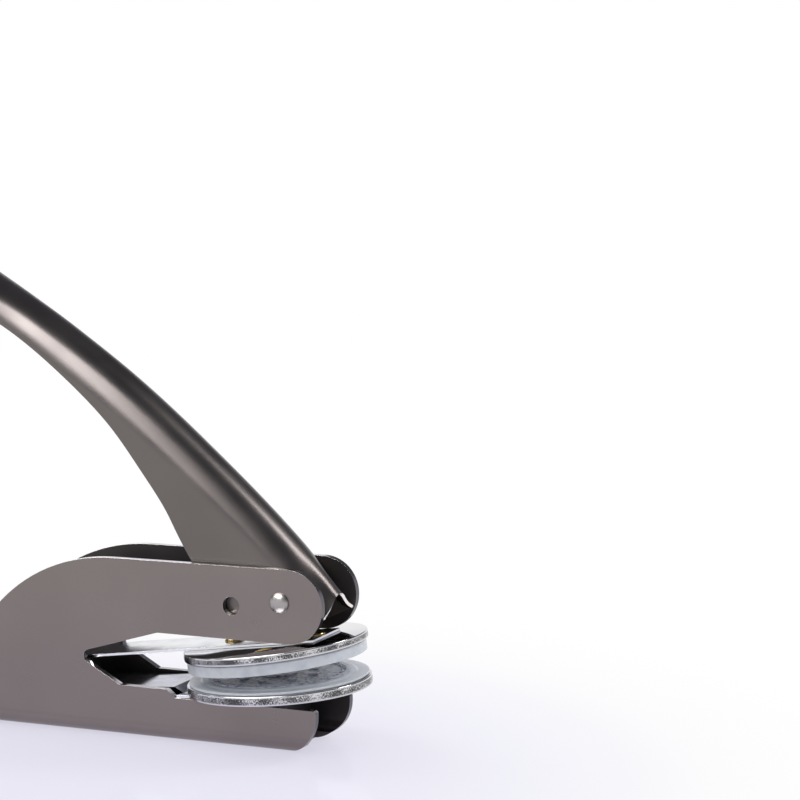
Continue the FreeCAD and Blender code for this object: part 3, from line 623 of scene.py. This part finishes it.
def lever_rows(sizes):
    """Rows of points over the lever, each from one flank's lower edge over the crown to the other's."""
    ridge = spline([(-x * sizes.reach, z * sizes.rise) for x, z in RIDGE_SHARES], RIDGE_STEPS + 1)
    shares = np.linspace(NOSE_SHARE, END_SHARE, SECTIONS)
    knots = [row[0] for row in EDGE_SHARES]
    edge = spline([(-x * sizes.reach, z * sizes.rise) for _, x, z in EDGE_SHARES], shares, knots)
    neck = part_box("roller_pin")[1][1]
    rows = []
    for share, low in zip(shares, edge):
        at = int(round(share * RIDGE_STEPS))
        top = ridge[at]
        ahead = ridge[min(at + 2, RIDGE_STEPS)] - ridge[max(at - 2, 0)]
        square = np.array([-ahead[1], ahead[0]]) / np.linalg.norm(ahead)
        height = np.linalg.norm(low - top)
        down = (low - top) / height
        lean = abs(float(down @ square))
        ridged = 1 - ease(share, *FADE_SHARES)
        half = neck + (sizes.grip_width / 2 - neck) * widening(share)
        spread = max(ridged, widening(share))
        rise = (sizes.neck_arch + (sizes.nose_arch - sizes.neck_arch) * spread) / lean
        belled = 1 - ease(share, *NOSE_FADE_SHARES)
        rise *= 1 - (1 - NOSE_RISE_SHARE) * belled
        rise = min(rise, height * MOST_RISE_SHARE)
        row = []
        for side, sink in arch(ridged, belled):
            x, z = top + down * sink * rise
            row.append(Vector((PIVOT.x + x, side * half, PIVOT.z + z)))
        flank = []
        for i in range(1, FLANK_STEPS + 1):
            way = (i / FLANK_STEPS) ** FLANK_CROWDING
            x, z = (top + down * rise) * (1 - way) + low * way
            flank.append((PIVOT.x + x, PIVOT.z + z))
        left = [Vector((x, -half, z)) for x, z in reversed(flank)]
        right = [Vector((x, half, z)) for x, z in flank]
        rows.append(soften(left + row + right))
    return rows


def close_grip(rows, radius, turns=5, steps=8):
    """More rows that round the last section over and close it with a flat wall."""
    last = rows[-1]
    crown = last[len(last) // 2]
    foot = (last[0] + last[-1]) / 2
    out = Vector((0, 1, 0)).cross((foot - crown).normalized())
    if out.dot(crown - rows[-2][len(last) // 2]) < 0:
        out = -out
    inset = radius / (last[0] - foot).length
    extra = []
    for i in range(1, turns + 1):
        turn = math.pi / 2 * i / turns
        extra.append([point.lerp(foot, inset * (1 - math.cos(turn))) + out * radius * math.sin(turn)
                      for point in last])
    ring = extra[-1]
    for i in range(1, steps + 1):
        extra.append([point.lerp(ring[0].lerp(ring[-1], j / (len(ring) - 1)), i / steps)
                      for j, point in enumerate(ring)])
    return rows + extra


def grid_faces(rows, width):
    faces = []
    for i in range(rows - 1):
        for j in range(width - 1):
            a = i * width + j
            faces.append((a, a + 1, a + width + 1, a + width))
    return faces


# Shared placing of the dies

def carrier_place(node, tilt):
    """Matrix from the disc's own axes to its place; its middle is the CAD disc's middle."""
    return Matrix.Translation(box_middle(node)) @ Matrix.Rotation(-tilt, 4, "Y")


def upper_tilt():
    """Slope of the upper die at rest."""
    return bpy.context.scene.embosser_dies.lower_tilt + OPEN_ANGLE


# Operators, one for each piece or group of like pieces

# Places of a piece's further materials
SHADED_INSIDE, EDGE, PAINTED_HIGHLIGHT = 1, 2, 3
LEVER_EDGE_HIGHLIGHT, LEVER_RIM = 1, 2
SHADED_DECK = 1


class BuildTool(Operator):
    bl_options = {"REGISTER", "UNDO"}


class EMBOSSER_OT_body(BuildTool):
    """Body: pressed channel whose sheared edges carry a painted highlight and whose inside carries painted
    shade, and its anvil
    """
    bl_idname = "embosser.body"
    bl_label = "Body"

    def execute(self, context):
        sizes = context.scene.embosser_body
        finish = context.scene.embosser_finish
        plate = plated_steel("black nickel plate", finish.plate, 0.26, 0.36)
        # Darker, rougher copy of the plate for the inner faces: painted shade where the channel's inside
        # lies in shadow.
        inside = plated_steel("black nickel plate inside", finish.inside, 0.4, 0.5)
        edge = bright_metal("sheared nickel edge", finish.edge, 0.16, 0.26)
        # Near-white on the up-facing edge faces and all rounded edges, fading to the plain edge colour at
        # the nose: painted highlight.
        painted_highlight = painted_highlight_edge("rubbed top edge", finish.edge_highlight, finish.edge,
                             PIVOT.x, PIVOT.x + 14 * MM)
        piece = cad_copy("body_frame", "body_channel", plate)
        for material in (inside, edge, painted_highlight):
            piece.data.materials.append(material)
        inner = box_size("body_frame").y / 2 - sizes.sheet
        slack = 0.02 * MM
        for face in piece.data.polygons:
            ys = [abs(piece.data.vertices[i].co.y) for i in face.vertices]
            across = abs(face.normal.y)
            # Edge faces that face up take the painted highlight, the rest the plain edge colour.
            if across < 0.3 and min(ys) > inner - slack and max(ys) - min(ys) > sizes.sheet / 2:
                face.material_index = PAINTED_HIGHLIGHT if face.normal.z > 0.5 else EDGE
            # Faces inside the channel that face inwards or up take the painted shade.
            elif max(ys) < inner + slack and (face.normal.y * face.center.y < 0 or face.normal.z > 0.5):
                face.material_index = SHADED_INSIDE
        # Every rounded edge takes the painted highlight.
        round_edges(piece, sizes.edge_round).material = PAINTED_HIGHLIGHT
        shading = piece.modifiers.new("flat cheeks first", "WEIGHTED_NORMAL")
        shading.weight = 100
        settle(piece)
        dress(piece, "frame", "body_coat", "body_frame")
        black = matte_black("blackened steel", "26262A")
        rounded_copy("anvil_block", "anvil", black, "frame", "anvil_coat", sizes.edge_round)
        return {"FINISHED"}


class EMBOSSER_OT_lever(BuildTool):
    """Lever: one formed sheet, ridged at the nose, round at the neck, widened to a closed grip"""
    bl_idname = "embosser.lever"
    bl_label = "Lever"

    def execute(self, context):
        sizes = context.scene.embosser_lever
        finish = context.scene.embosser_finish
        rows = close_grip(lever_rows(sizes), GRIP_END_ROUND)
        points = [point for row in rows for point in row]
        steel = plated_steel("black nickel lever", finish.lever, 0.29, 0.35)
        piece = mesh_object("lever_skin", points, grid_faces(len(rows), len(rows[0])), steel)
        with opened(piece.data) as shape:
            bmesh.ops.remove_doubles(shape, verts=shape.verts, dist=2 * WELD)
            bmesh.ops.recalc_face_normals(shape, faces=shape.faces)
            crown = max(shape.faces, key=lambda face: face.calc_center_median().z)
            if crown.normal.z < 0:
                bmesh.ops.reverse_faces(shape, faces=shape.faces)
        wall = piece.modifiers.new("sheet", "SOLIDIFY")
        wall.thickness = sizes.sheet
        wall.offset = -1
        wall.use_even_offset = False
        wall.material_offset_rim = LEVER_RIM
        thinned = piece.vertex_groups.new(name="wall at the nose")
        wall.vertex_group = thinned.name
        for point in piece.data.vertices:
            ahead = ease(point.co.x - PIVOT.x, *NOSE_RUN)
            thinned.add([point.index], 1 - (1 - NOSE_WALL_SHARE) * ahead, "REPLACE")
        # Near-white colour on the lever's rounded edges and on the cut edge at its nose: painted highlight.
        bright = bright_metal("rubbed lever edge", finish.edge_highlight, 0.18, 0.28)
        for _ in (LEVER_EDGE_HIGHLIGHT, LEVER_RIM):
            piece.data.materials.append(bright)
        round_edges(piece, sizes.edge_round, 2, 60).material = LEVER_EDGE_HIGHLIGHT
        settle(piece)
        # The cut edge at the nose keeps the painted highlight; the lower rims of the flanks take the plate.
        for face in piece.data.polygons:
            if face.material_index == LEVER_RIM:
                face.material_index = LEVER_EDGE_HIGHLIGHT if face.center.x > PIVOT.x + NOSE_RUN[1] else 0
        piece.data.materials.pop(index=LEVER_RIM)
        dress(piece, "lever", "lever_coat", "lever")
        return {"FINISHED"}


class EMBOSSER_OT_clip(BuildTool):
    """Spring clip: bright strip whose upper arm bends as the dies close"""
    bl_idname = "embosser.clip"
    bl_label = "Spring clip"

    def execute(self, context):
        sizes = context.scene.embosser_clip
        chrome = bright_metal("nickelled spring strip", context.scene.embosser_finish.chrome, 0.12, 0.22)
        join = HINGE.x - sizes.bend_run
        strip = cad_copy("clip_spring", "clip_strip", chrome)
        self.cut_upper_end(strip, join)
        round_edges(strip, sizes.edge_round, 2)
        settle(strip)
        dress(strip, "frame", "clip_chrome", "clip_spring")
        arm = self.upper_arm(sizes, chrome, join)
        dress(arm, None, "clip_chrome", "clip_upper_arm")
        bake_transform(arm)
        return {"FINISHED"}

    def cut_upper_end(self, strip, join):
        """Takes the strip's upper end off at join and closes the cut."""
        with opened(strip.data) as shape:
            upper = [face for face in shape.faces
                     if min(vert.co.z for vert in face.verts) > HINGE.z + 1 * MM
                     and join - 2 * MM < max(vert.co.x for vert in face.verts) < HINGE.x + 1 * MM]
            edges = {edge for face in upper for edge in face.edges}
            verts = {vert for face in upper for vert in face.verts}
            cut = bmesh.ops.bisect_plane(shape, geom=list(verts) + list(edges) + upper,
                                         plane_co=(join, 0, 0), plane_no=(1, 0, 0), clear_outer=True)
            rim = [item for item in cut["geom_cut"] if isinstance(item, bmesh.types.BMEdge)]
            bmesh.ops.edgenet_fill(shape, edges=rim)

    def upper_arm(self, sizes, chrome, join):
        """The upper arm in short lengths, so that it can bend near the clip's own bend."""
        lengths = 60
        tilt = upper_tilt()
        carrier = carrier_place("upper_carrier_disc", tilt)
        middle = box_middle("upper_carrier_disc")
        base = bpy.context.scene.embosser_dies.upper_carrier / 2
        width = box_size("clip_upper_arm").y / 2
        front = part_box("clip_upper_arm")[1][0]
        lean = base * math.sin(tilt)
        start = (join - middle.x + lean) / math.cos(tilt)
        end = (front - middle.x + lean) / math.cos(tilt)
        top = base + sizes.sheet
        points = []
        for i in range(lengths + 1):
            x = start + (end - start) * i / lengths
            for y, z in ((-width, base), (-width, top), (width, top), (width, base)):
                points.append(carrier @ Vector((x, y, z)))
        faces = [(0, 1, 2, 3), tuple(4 * lengths + i for i in (3, 2, 1, 0))]
        for i in range(lengths):
            for j in range(4):
                k = (j + 1) % 4
                faces.append((4 * i + j, 4 * i + 4 + j, 4 * i + 4 + k, 4 * i + k))
        arm = mesh_object("clip_arm", points, faces, chrome)
        with opened(arm.data) as shape:
            bmesh.ops.recalc_face_normals(shape, faces=shape.faces)
        round_edges(arm, sizes.edge_round, 2)
        settle(arm)
        return arm


class EMBOSSER_OT_carriers(BuildTool):
    """Carriers: two round steel blanks"""
    bl_idname = "embosser.carriers"
    bl_label = "Carriers"

    def execute(self, context):
        sizes = context.scene.embosser_dies
        code = context.scene.embosser_finish.steel
        radius = sizes.carrier_diameter / 2
        corner = 0.3 * MM
        for node, name, body, thickness, tilt in (
                ("lower_carrier_disc", "lower_carrier", "frame", sizes.lower_carrier, sizes.lower_tilt),
                ("upper_carrier_disc", "upper_carrier", "upper_die", sizes.upper_carrier, upper_tilt())):
            half = thickness / 2
            profile = rounded([(0, -half), (radius, -half), (radius, half), (0, half)], corner)
            steel = turned_steel(name + " steel", code, box_middle(node), tilt, radius, half)
            piece = lathe(name, profile, steel, carrier_place(node, tilt))
            dress(piece, body, "disc_steel", node)
        return {"FINISHED"}


class EMBOSSER_OT_dies(BuildTool):
    """Dies: milky resin discs, the lower one with a raised middle and a plain rosette"""
    bl_idname = "embosser.dies"
    bl_label = "Dies"

    def execute(self, context):
        sizes = context.scene.embosser_dies
        code = context.scene.embosser_finish.resin
        self.lower(sizes, code)
        self.upper(sizes, code)
        film = film_material("adhesive film")
        paint("lower_die_pad", film)
        paint("upper_die_pad", film)
        return {"FINISHED"}

    def lower(self, sizes, code):
        """Lower die: a rim, and a raised middle whose crumpled deck carries the rosette; deck and rosette
        are darkened grey-blue with painted shade.
        """
        radius = sizes.die_diameter / 2
        crown = sizes.plateau / 2
        inner = crown - 2.4 * MM
        step = sizes.lower_die - sizes.plateau_height
        deck = sizes.lower_die - sizes.relief
        base = sizes.lower_carrier / 2 + sizes.pad
        place = carrier_place("lower_carrier_disc", sizes.lower_tilt)
        profile = rounded([(0, 0), (radius, 0), (radius, step), (crown + sizes.plateau_height, step),
                           (crown, deck), (inner, deck), (0, deck)], 0.2 * MM)
        resin = milky_resin("cast resin rim", code, "DEE3EA", 3 * MM, 0.03 * MM)
        # Dark grey-blue clouds on the deck and the rosette: painted shade under the upper die, over the
        # real crumpled relief.
        crumpled = milky_resin("crumpled cast resin", "E6E9F4", "8A8BA2", 2.0 * MM, 0.3 * MM)
        piece = lathe("lower_die_resin", profile, resin, place @ Matrix.Translation((0, 0, base)))
        dress(piece, "frame", "die_resin", "lower_die")
        piece.data.materials.append(crumpled)
        for face in piece.data.polygons:
            if (face.center - place.translation).length < inner + 0.5 * MM and face.normal.z > 0.9:
                face.material_index = SHADED_DECK
        relief = rosette(sizes, crumpled, place @ Matrix.Translation((0, 0, base + deck)))
        dress(relief, "frame", "die_resin")

    def upper(self, sizes, code):
        """Upper die: its middle is sunk by the height of the pattern."""
        radius = sizes.die_diameter / 2
        sunk = sizes.plateau / 2 - sizes.ring_width
        base = -sizes.upper_carrier / 2 - sizes.pad - sizes.upper_die
        place = carrier_place("upper_carrier_disc", upper_tilt())
        profile = rounded([(0, sizes.relief), (sunk, sizes.relief), (sunk + sizes.relief, 0), (radius, 0),
                           (radius, sizes.upper_die), (0, sizes.upper_die)], 0.3 * MM)
        skin = milky_resin("cast resin counter", code, "D6DCE4", 4 * MM, 0.04 * MM)
        piece = lathe("upper_die_resin", profile, skin, place @ Matrix.Translation((0, 0, base)))
        dress(piece, "upper_die", "die_resin", "upper_die")


def start_growth(name, inputs):
    """A Geometry Nodes tree with named inputs, and the sockets that carry them."""
    tree = bpy.data.node_groups.new(name, "GeometryNodeTree")
    tree.is_modifier = True
    for label, kind in inputs.items():
        tree.interface.new_socket(label, in_out="INPUT", socket_type="NodeSocket" + kind)
    tree.interface.new_socket("Geometry", in_out="OUTPUT", socket_type="NodeSocketGeometry")
    return tree, add_node(tree, "NodeGroupInput").outputs


def end_growth(tree, geometry, material):
    """Ends a tree in real geometry that wears the material."""
    real = add_node(tree, "GeometryNodeRealizeInstances", {"Geometry": geometry})
    painted = add_node(tree, "GeometryNodeSetMaterial", {
        "Geometry": real.outputs["Geometry"], "Material": material})
    add_node(tree, "NodeGroupOutput", {"Geometry": painted.outputs["Geometry"]})


def grown(name, tree, values):
    """A plain mesh made by a Geometry Nodes tree; values are set by the sockets' identifiers."""
    piece = add_object(name, bpy.data.meshes.new(name))
    modifier = piece.modifiers.new("growth", "NODES")
    modifier.node_group = tree
    for item in tree.interface.items_tree:
        if item.in_out == "INPUT" and item.name in values:
            modifier[item.identifier] = values[item.name]
    settle(piece)
    return piece


def rosette(sizes, material, place):
    """Relief on the lower die: a plain ring, a ring of beads and a rosette of discs."""
    ring_steps, boss_sides, petal_sides, bead_sides = 128, 96, 40, 12
    tree, given = start_growth("rosette relief", {
        "Ring radius": "Float", "Ring width": "Float", "Height": "Float", "Petals": "Int", "Beads": "Int"})
    ring_radius, width, height = given["Ring radius"], given["Ring width"], given["Height"]
    half_width = add_node(tree, "ShaderNodeMath", {0: width, 1: 0.5}, operation="MULTIPLY")
    inner = add_node(tree, "ShaderNodeMath", {0: ring_radius, 1: width}, operation="SUBTRACT")
    bead_way = add_node(tree, "ShaderNodeMath", {0: inner.outputs[0], 1: width}, operation="SUBTRACT")
    petal_way = add_node(tree, "ShaderNodeMath", {0: ring_radius, 1: 0.5}, operation="MULTIPLY")
    boss = add_node(tree, "ShaderNodeMath", {0: petal_way.outputs[0], 1: 0.5}, operation="MULTIPLY")
    line = add_node(tree, "GeometryNodeCurvePrimitiveCircle", {
        "Resolution": ring_steps, "Radius": inner.outputs[0]})
    bar = add_node(tree, "GeometryNodeCurvePrimitiveQuadrilateral", {"Width": width, "Height": height})
    ring = add_node(tree, "GeometryNodeCurveToMesh", {
        "Curve": line.outputs["Curve"], "Profile Curve": bar.outputs["Curve"], "Fill Caps": True})
    parts = [ring.outputs["Mesh"]]
    for count, way, size, sides in ((given["Petals"], petal_way, width, petal_sides),
                                    (given["Beads"], bead_way, half_width.outputs[0], bead_sides)):
        around = add_node(tree, "GeometryNodeMeshCircle", {"Vertices": count, "Radius": way.outputs[0]})
        stud = add_node(tree, "GeometryNodeMeshCylinder", {
            "Vertices": sides, "Radius": size, "Depth": height})
        copies = add_node(tree, "GeometryNodeInstanceOnPoints", {
            "Points": around.outputs["Mesh"], "Instance": stud.outputs["Mesh"]})
        parts.append(copies.outputs["Instances"])
    middle = add_node(tree, "GeometryNodeMeshCylinder", {
        "Vertices": boss_sides, "Radius": boss.outputs[0], "Depth": height})
    parts.append(middle.outputs["Mesh"])
    joined = add_node(tree, "GeometryNodeJoinGeometry")
    for part in parts:
        tree.links.new(part, joined.inputs["Geometry"])
    end_growth(tree, joined.outputs["Geometry"], material)
    # A hair lower than the relief, so that the pattern stays inside the solid die
    piece = grown("lower_die_relief", tree, {
        "Ring radius": sizes.plateau / 2 - sizes.ring_width / 2, "Ring width": sizes.ring_width,
        "Height": sizes.relief * 0.98, "Petals": sizes.petals, "Beads": sizes.beads})
    piece.data.transform(place @ Matrix.Translation((0, 0, sizes.relief / 2)))
    round_edges(piece, 0.06 * MM, 1)
    settle(piece)
    return piece


def row_of(name, source, middle, step, count, material):
    """Copies of one piece along a line, made by Geometry Nodes and centred on middle."""
    tree, given = start_growth(name + " row", {
        "Count": "Int", "Step": "Vector", "Start": "Vector", "Piece": "Object"})
    line = add_node(tree, "GeometryNodeMeshLine", {
        "Count": given["Count"], "Start Location": given["Start"], "Offset": given["Step"]})
    shape = add_node(tree, "GeometryNodeObjectInfo", {"Object": given["Piece"]})
    copies = add_node(tree, "GeometryNodeInstanceOnPoints", {
        "Points": line.outputs["Mesh"], "Instance": shape.outputs["Geometry"]})
    end_growth(tree, copies.outputs["Instances"], material)
    piece = grown(name, tree, {
        "Count": count, "Step": step, "Start": middle - step * (count - 1) / 2, "Piece": source})
    bpy.data.objects.remove(source)
    piece.data.set_sharp_from_angle(angle=SHARP_ANGLE)
    return piece


class EMBOSSER_OT_rivets(BuildTool):
    """Rivets and screws: pivot rivet, brass clip rivets, countersunk anvil screws"""
    bl_idname = "embosser.rivets"
    bl_label = "Rivets and screws"

    def execute(self, context):
        clip = context.scene.embosser_clip
        dies = context.scene.embosser_dies
        finish = context.scene.embosser_finish
        brass = bright_metal("turned brass", finish.brass, 0.14, 0.24)
        steel = bright_metal("zinc plated steel", finish.zinc, 0.34, 0.42)
        radius = clip.rivet_head / 2
        head = rounded([(0, 0), (radius, 0), (radius * 0.92, clip.rivet_height * 0.5),
                        (radius * 0.5, clip.rivet_height), (0, clip.rivet_height * 0.92)], 0.25 * MM)
        for name, node, body, disc, tilt, side, thickness in (
                ("upper_rivets", "upper_clip_rivets", "upper_die", "upper_carrier_disc", upper_tilt(), 1,
                 dies.upper_carrier),
                ("lower_rivets", "lower_clip_rivets", "frame", "lower_carrier_disc", dies.lower_tilt, -1,
                 dies.lower_carrier)):
            place = carrier_place(disc, tilt)
            face = side * (thickness / 2 + clip.sheet)
            turn = place.to_3x3().to_4x4() @ Matrix.Scale(side, 4, (0, 0, 1))
            one = lathe(name + "_one", head, brass, turn, 48)
            if side < 0:
                one.data.flip_normals()
            along = place.to_3x3() @ Vector((clip.rivet_spacing, 0, 0))
            piece = row_of(name, one, place @ Vector((0, 0, face)), along, 2, brass)
            dress(piece, body, "rivet_brass", node)
        self.pivot(steel)
        self.screws(steel)
        return {"FINISHED"}

    def pivot(self, steel):
        """Pivot rivet: a low dome at each end of a thinner shank."""
        steps = 14
        size = box_size("pivot_rivet")
        radius = size.x / 2
        shank = radius * 0.77
        half = size.y / 2
        body = box_size("body_frame").y / 2
        dome = []
        for i in range(steps + 1):
            turn = math.pi / 2 * i / steps
            dome.append((radius * math.sin(turn), body + (half - body) * math.cos(turn)))
        profile = [(r, -z) for r, z in dome] + [(shank, -body), (shank, body)] + dome[::-1]
        place = Matrix.Translation((PIVOT.x, 0, PIVOT.z)) @ Matrix.Rotation(math.pi / 2, 4, "X")
        rivet = lathe("pivot_rivet_turned", profile, steel, place, 64)
        dress(rivet, "frame", "bright_steel", "pivot_rivet")

    def screws(self, steel):
        """Anvil screws: countersunk, with a small recess in the head."""
        recess = 0.5 * MM
        sink = 1.4 * MM
        size = box_size("anvil_screws")
        middle = box_middle("anvil_screws")
        radius = size.y / 2
        profile = rounded([(0, recess), (radius * 0.3, recess), (radius * 0.42, 0), (radius, 0),
                           (radius / 2, sink), (radius / 2, size.z), (0, size.z)], 0.1 * MM)
        one = lathe("anvil_screw_one", profile, steel, Matrix(), 48)
        step = Vector((size.x - size.y, 0, 0))
        piece = row_of("anvil_screws_turned", one, Vector((middle.x, 0, 0)), step, 2, steel)
        dress(piece, "frame", "bright_steel", "anvil_screws")


class EMBOSSER_OT_works(BuildTool):
    """Roller, its pin and the spacer, which show from behind and from below"""
    bl_idname = "embosser.works"
    bl_label = "Roller and pins"

    def execute(self, context):
        finish = context.scene.embosser_finish
        brass = bright_metal("turned brass roller", finish.brass, 0.18, 0.28)
        steel = bright_metal("zinc plated pin", finish.zinc, 0.26, 0.34)
        for node, name, body, slot, metal in (
                ("presser_roller", "roller_turned", "roller", "rivet_brass", brass),
                ("pivot_spacer", "spacer_tube", "lever", "bright_steel", steel),
                ("roller_pin", "roller_pin_turned", "lever", "bright_steel", steel)):
            rounded_copy(node, name, metal, body, slot, 0.2 * MM, 2)
        paint("pivot_washers", steel)
        paint("roller_washers", steel)
        return {"FINISHED"}


def seen_by(tree, *kinds):
    """1 on light paths of the given kinds, 0 on all others."""
    path = add_node(tree, "ShaderNodeLightPath").outputs
    seen = path[kinds[0]]
    for kind in kinds[1:]:
        seen = add_node(tree, "ShaderNodeMath", {0: seen, 1: path[kind]}, operation="MAXIMUM").outputs[0]
    return seen


class EMBOSSER_OT_stage(BuildTool):
    """Floor, lamps, sky and camera"""
    bl_idname = "embosser.stage"
    bl_label = "Studio"

    def execute(self, context):
        settings = context.scene.embosser_stage
        self.floor(settings)
        self.sky()
        self.lamps()
        self.camera(settings)
        view = context.scene.view_settings
        view.view_transform = "Standard"
        return {"FINISHED"}

    def floor(self, settings):
        """Polished white acrylic near the object, with a faint bluish painted shade round it, fading into
        the white background.
        """
        material, tree, shader = start_material("glossy white acrylic", {
            "Base Color": linear(settings.floor), "Roughness": 0.09, "IOR": 1.3})
        where = place_pattern(tree, middle=(20 * MM, -50 * MM, 0))
        away = add_node(tree, "ShaderNodeVectorMath", {0: where}, operation="LENGTH").outputs["Value"]
        fade = add_node(tree, "ShaderNodeMapRange", {
            "Value": away, "From Min": 0.08, "From Max": 0.22, "To Min": 0.64},
            interpolation_type="SMOOTHSTEP")
        seen = seen_by(tree, "Is Camera Ray", "Is Glossy Ray", "Is Transmission Ray")
        share = add_node(tree, "ShaderNodeMath", {0: seen, 1: fade.outputs["Result"]}, operation="MULTIPLY")
        # Faint bluish darkening round the object, fading to white further out: painted shade on the floor.
        painted_shade_tint = add_node(tree, "ShaderNodeValToRGB", {"Fac": away},
                        stops=((0.07, linear("F2F0FF")), (0.16, WHITE)))
        white = add_node(tree, "ShaderNodeEmission", {"Color": painted_shade_tint.outputs["Color"], "Strength": 1.0})
        mixed = add_node(tree, "ShaderNodeMixShader", {
            "Fac": share.outputs[0], 1: shader.outputs[0], 2: white.outputs[0]})
        output = next(node for node in tree.nodes if node.type == "OUTPUT_MATERIAL")
        tree.links.new(mixed.outputs[0], output.inputs["Surface"])
        size = 60.0
        corners = [(x, y, 0) for x, y in ((-size, -size), (size, -size), (size, size), (-size, size))]
        mesh_object("floor", corners, [(0, 1, 2, 3)], material)

    def sky(self):
        """White for the camera, a white horizon under a dark ceiling for reflections, and an even
        soft light for matt surfaces."""
        world = bpy.data.worlds.new("studio")
        bpy.context.scene.world = world
        world.use_nodes = True
        tree = world.node_tree
        tree.nodes.clear()
        where = add_node(tree, "ShaderNodeTexCoord")
        height = add_node(tree, "ShaderNodeSeparateXYZ", {"Vector": where.outputs["Generated"]})
        ramp = add_node(tree, "ShaderNodeValToRGB", {"Fac": height.outputs["Z"]}, stops=(
            (0.08, WHITE), (0.18, (0.85, 0.85, 0.935, 1)), (0.28, (0.09, 0.09, 0.099, 1)),
            (0.9, (0.045, 0.05, 0.07, 1))))
        mirrored = add_node(tree, "ShaderNodeBackground", {"Color": ramp.outputs["Color"]})
        soft = add_node(tree, "ShaderNodeBackground", {"Color": (0.96, 0.97, 1, 1), "Strength": 0.75})
        white = add_node(tree, "ShaderNodeBackground", {"Color": WHITE})
        lit = add_node(tree, "ShaderNodeMixShader", {
            "Fac": seen_by(tree, "Is Glossy Ray"), 1: soft.outputs[0], 2: mirrored.outputs[0]})
        seen = seen_by(tree, "Is Camera Ray", "Is Transmission Ray")
        mixed = add_node(tree, "ShaderNodeMixShader", {"Fac": seen, 1: lit.outputs[0], 2: white.outputs[0]})
        add_node(tree, "ShaderNodeOutputWorld", {"Surface": mixed.outputs[0]})

    def lamps(self):
        """A tall front softbox for the shoulder of the lever, a card behind for its ridge, and a
        weak side lamp for the shadow."""
        aim = Vector((0.04, 0, 0.06))
        for name, place, size, power in (
                ("front softbox", (-0.33, -0.67, 1.07), (1.30, 1.08), 31.0),
                ("ridge card", (0.69, 0.58, 0.82), (0.26, 0.36), 3.2),
                ("side lamp", (-0.80, 0.20, 0.95), (0.5, 0.5), 3.0)):
            lamp = bpy.data.lights.new(name, "AREA")
            lamp.shape = "RECTANGLE"
            lamp.size, lamp.size_y = size
            lamp.energy = power
            holder = add_object(name, lamp)
            holder.location = place
            holder.rotation_euler = (aim - Vector(place)).to_track_quat("-Z", "Y").to_euler()
            holder.visible_diffuse = name != "front softbox"

    def camera(self, settings):
        lens = bpy.data.cameras.new("camera")
        lens.sensor_width = 36
        lens.lens = settings.lens
        lens.clip_start = 0.01
        camera = add_object("camera", lens)
        camera.location = Vector((PIVOT.x, 0, 0)) + Vector(settings.camera)
        camera.rotation_euler = (math.pi / 2 - settings.elevation, 0, settings.azimuth)
        bpy.context.scene.camera = camera


OPERATORS = (EMBOSSER_OT_body, EMBOSSER_OT_lever, EMBOSSER_OT_clip, EMBOSSER_OT_carriers,
             EMBOSSER_OT_dies, EMBOSSER_OT_rivets, EMBOSSER_OT_works, EMBOSSER_OT_stage)


class EMBOSSER_PT_panel(Panel):
    bl_label = "Seal embosser"
    bl_idname = "EMBOSSER_PT_panel"
    bl_space_type = "VIEW_3D"
    bl_region_type = "UI"
    bl_category = "Embosser"

    def draw(self, context):
        for operator in OPERATORS:
            self.layout.operator(operator.bl_idname)
        for name, group in SETTINGS.items():
            settings = getattr(context.scene, name)
            box = self.layout.box()
            for field in group.__annotations__:
                box.prop(settings, field)


def register():
    for group in SETTINGS.values():
        bpy.utils.register_class(group)
    for name, group in SETTINGS.items():
        setattr(bpy.types.Scene, name, PointerProperty(type=group))
    for kind in OPERATORS + (EMBOSSER_PT_panel,):
        bpy.utils.register_class(kind)


def unregister():
    for kind in reversed(OPERATORS + (EMBOSSER_PT_panel,)):
        bpy.utils.unregister_class(kind)
    for name, group in SETTINGS.items():
        delattr(bpy.types.Scene, name)
        bpy.utils.unregister_class(group)


def main():
    register()
    for operator in OPERATORS:
        family, name = operator.bl_idname.split(".")
        getattr(getattr(bpy.ops, family), name)()


if __name__ == "__main__":
    main()
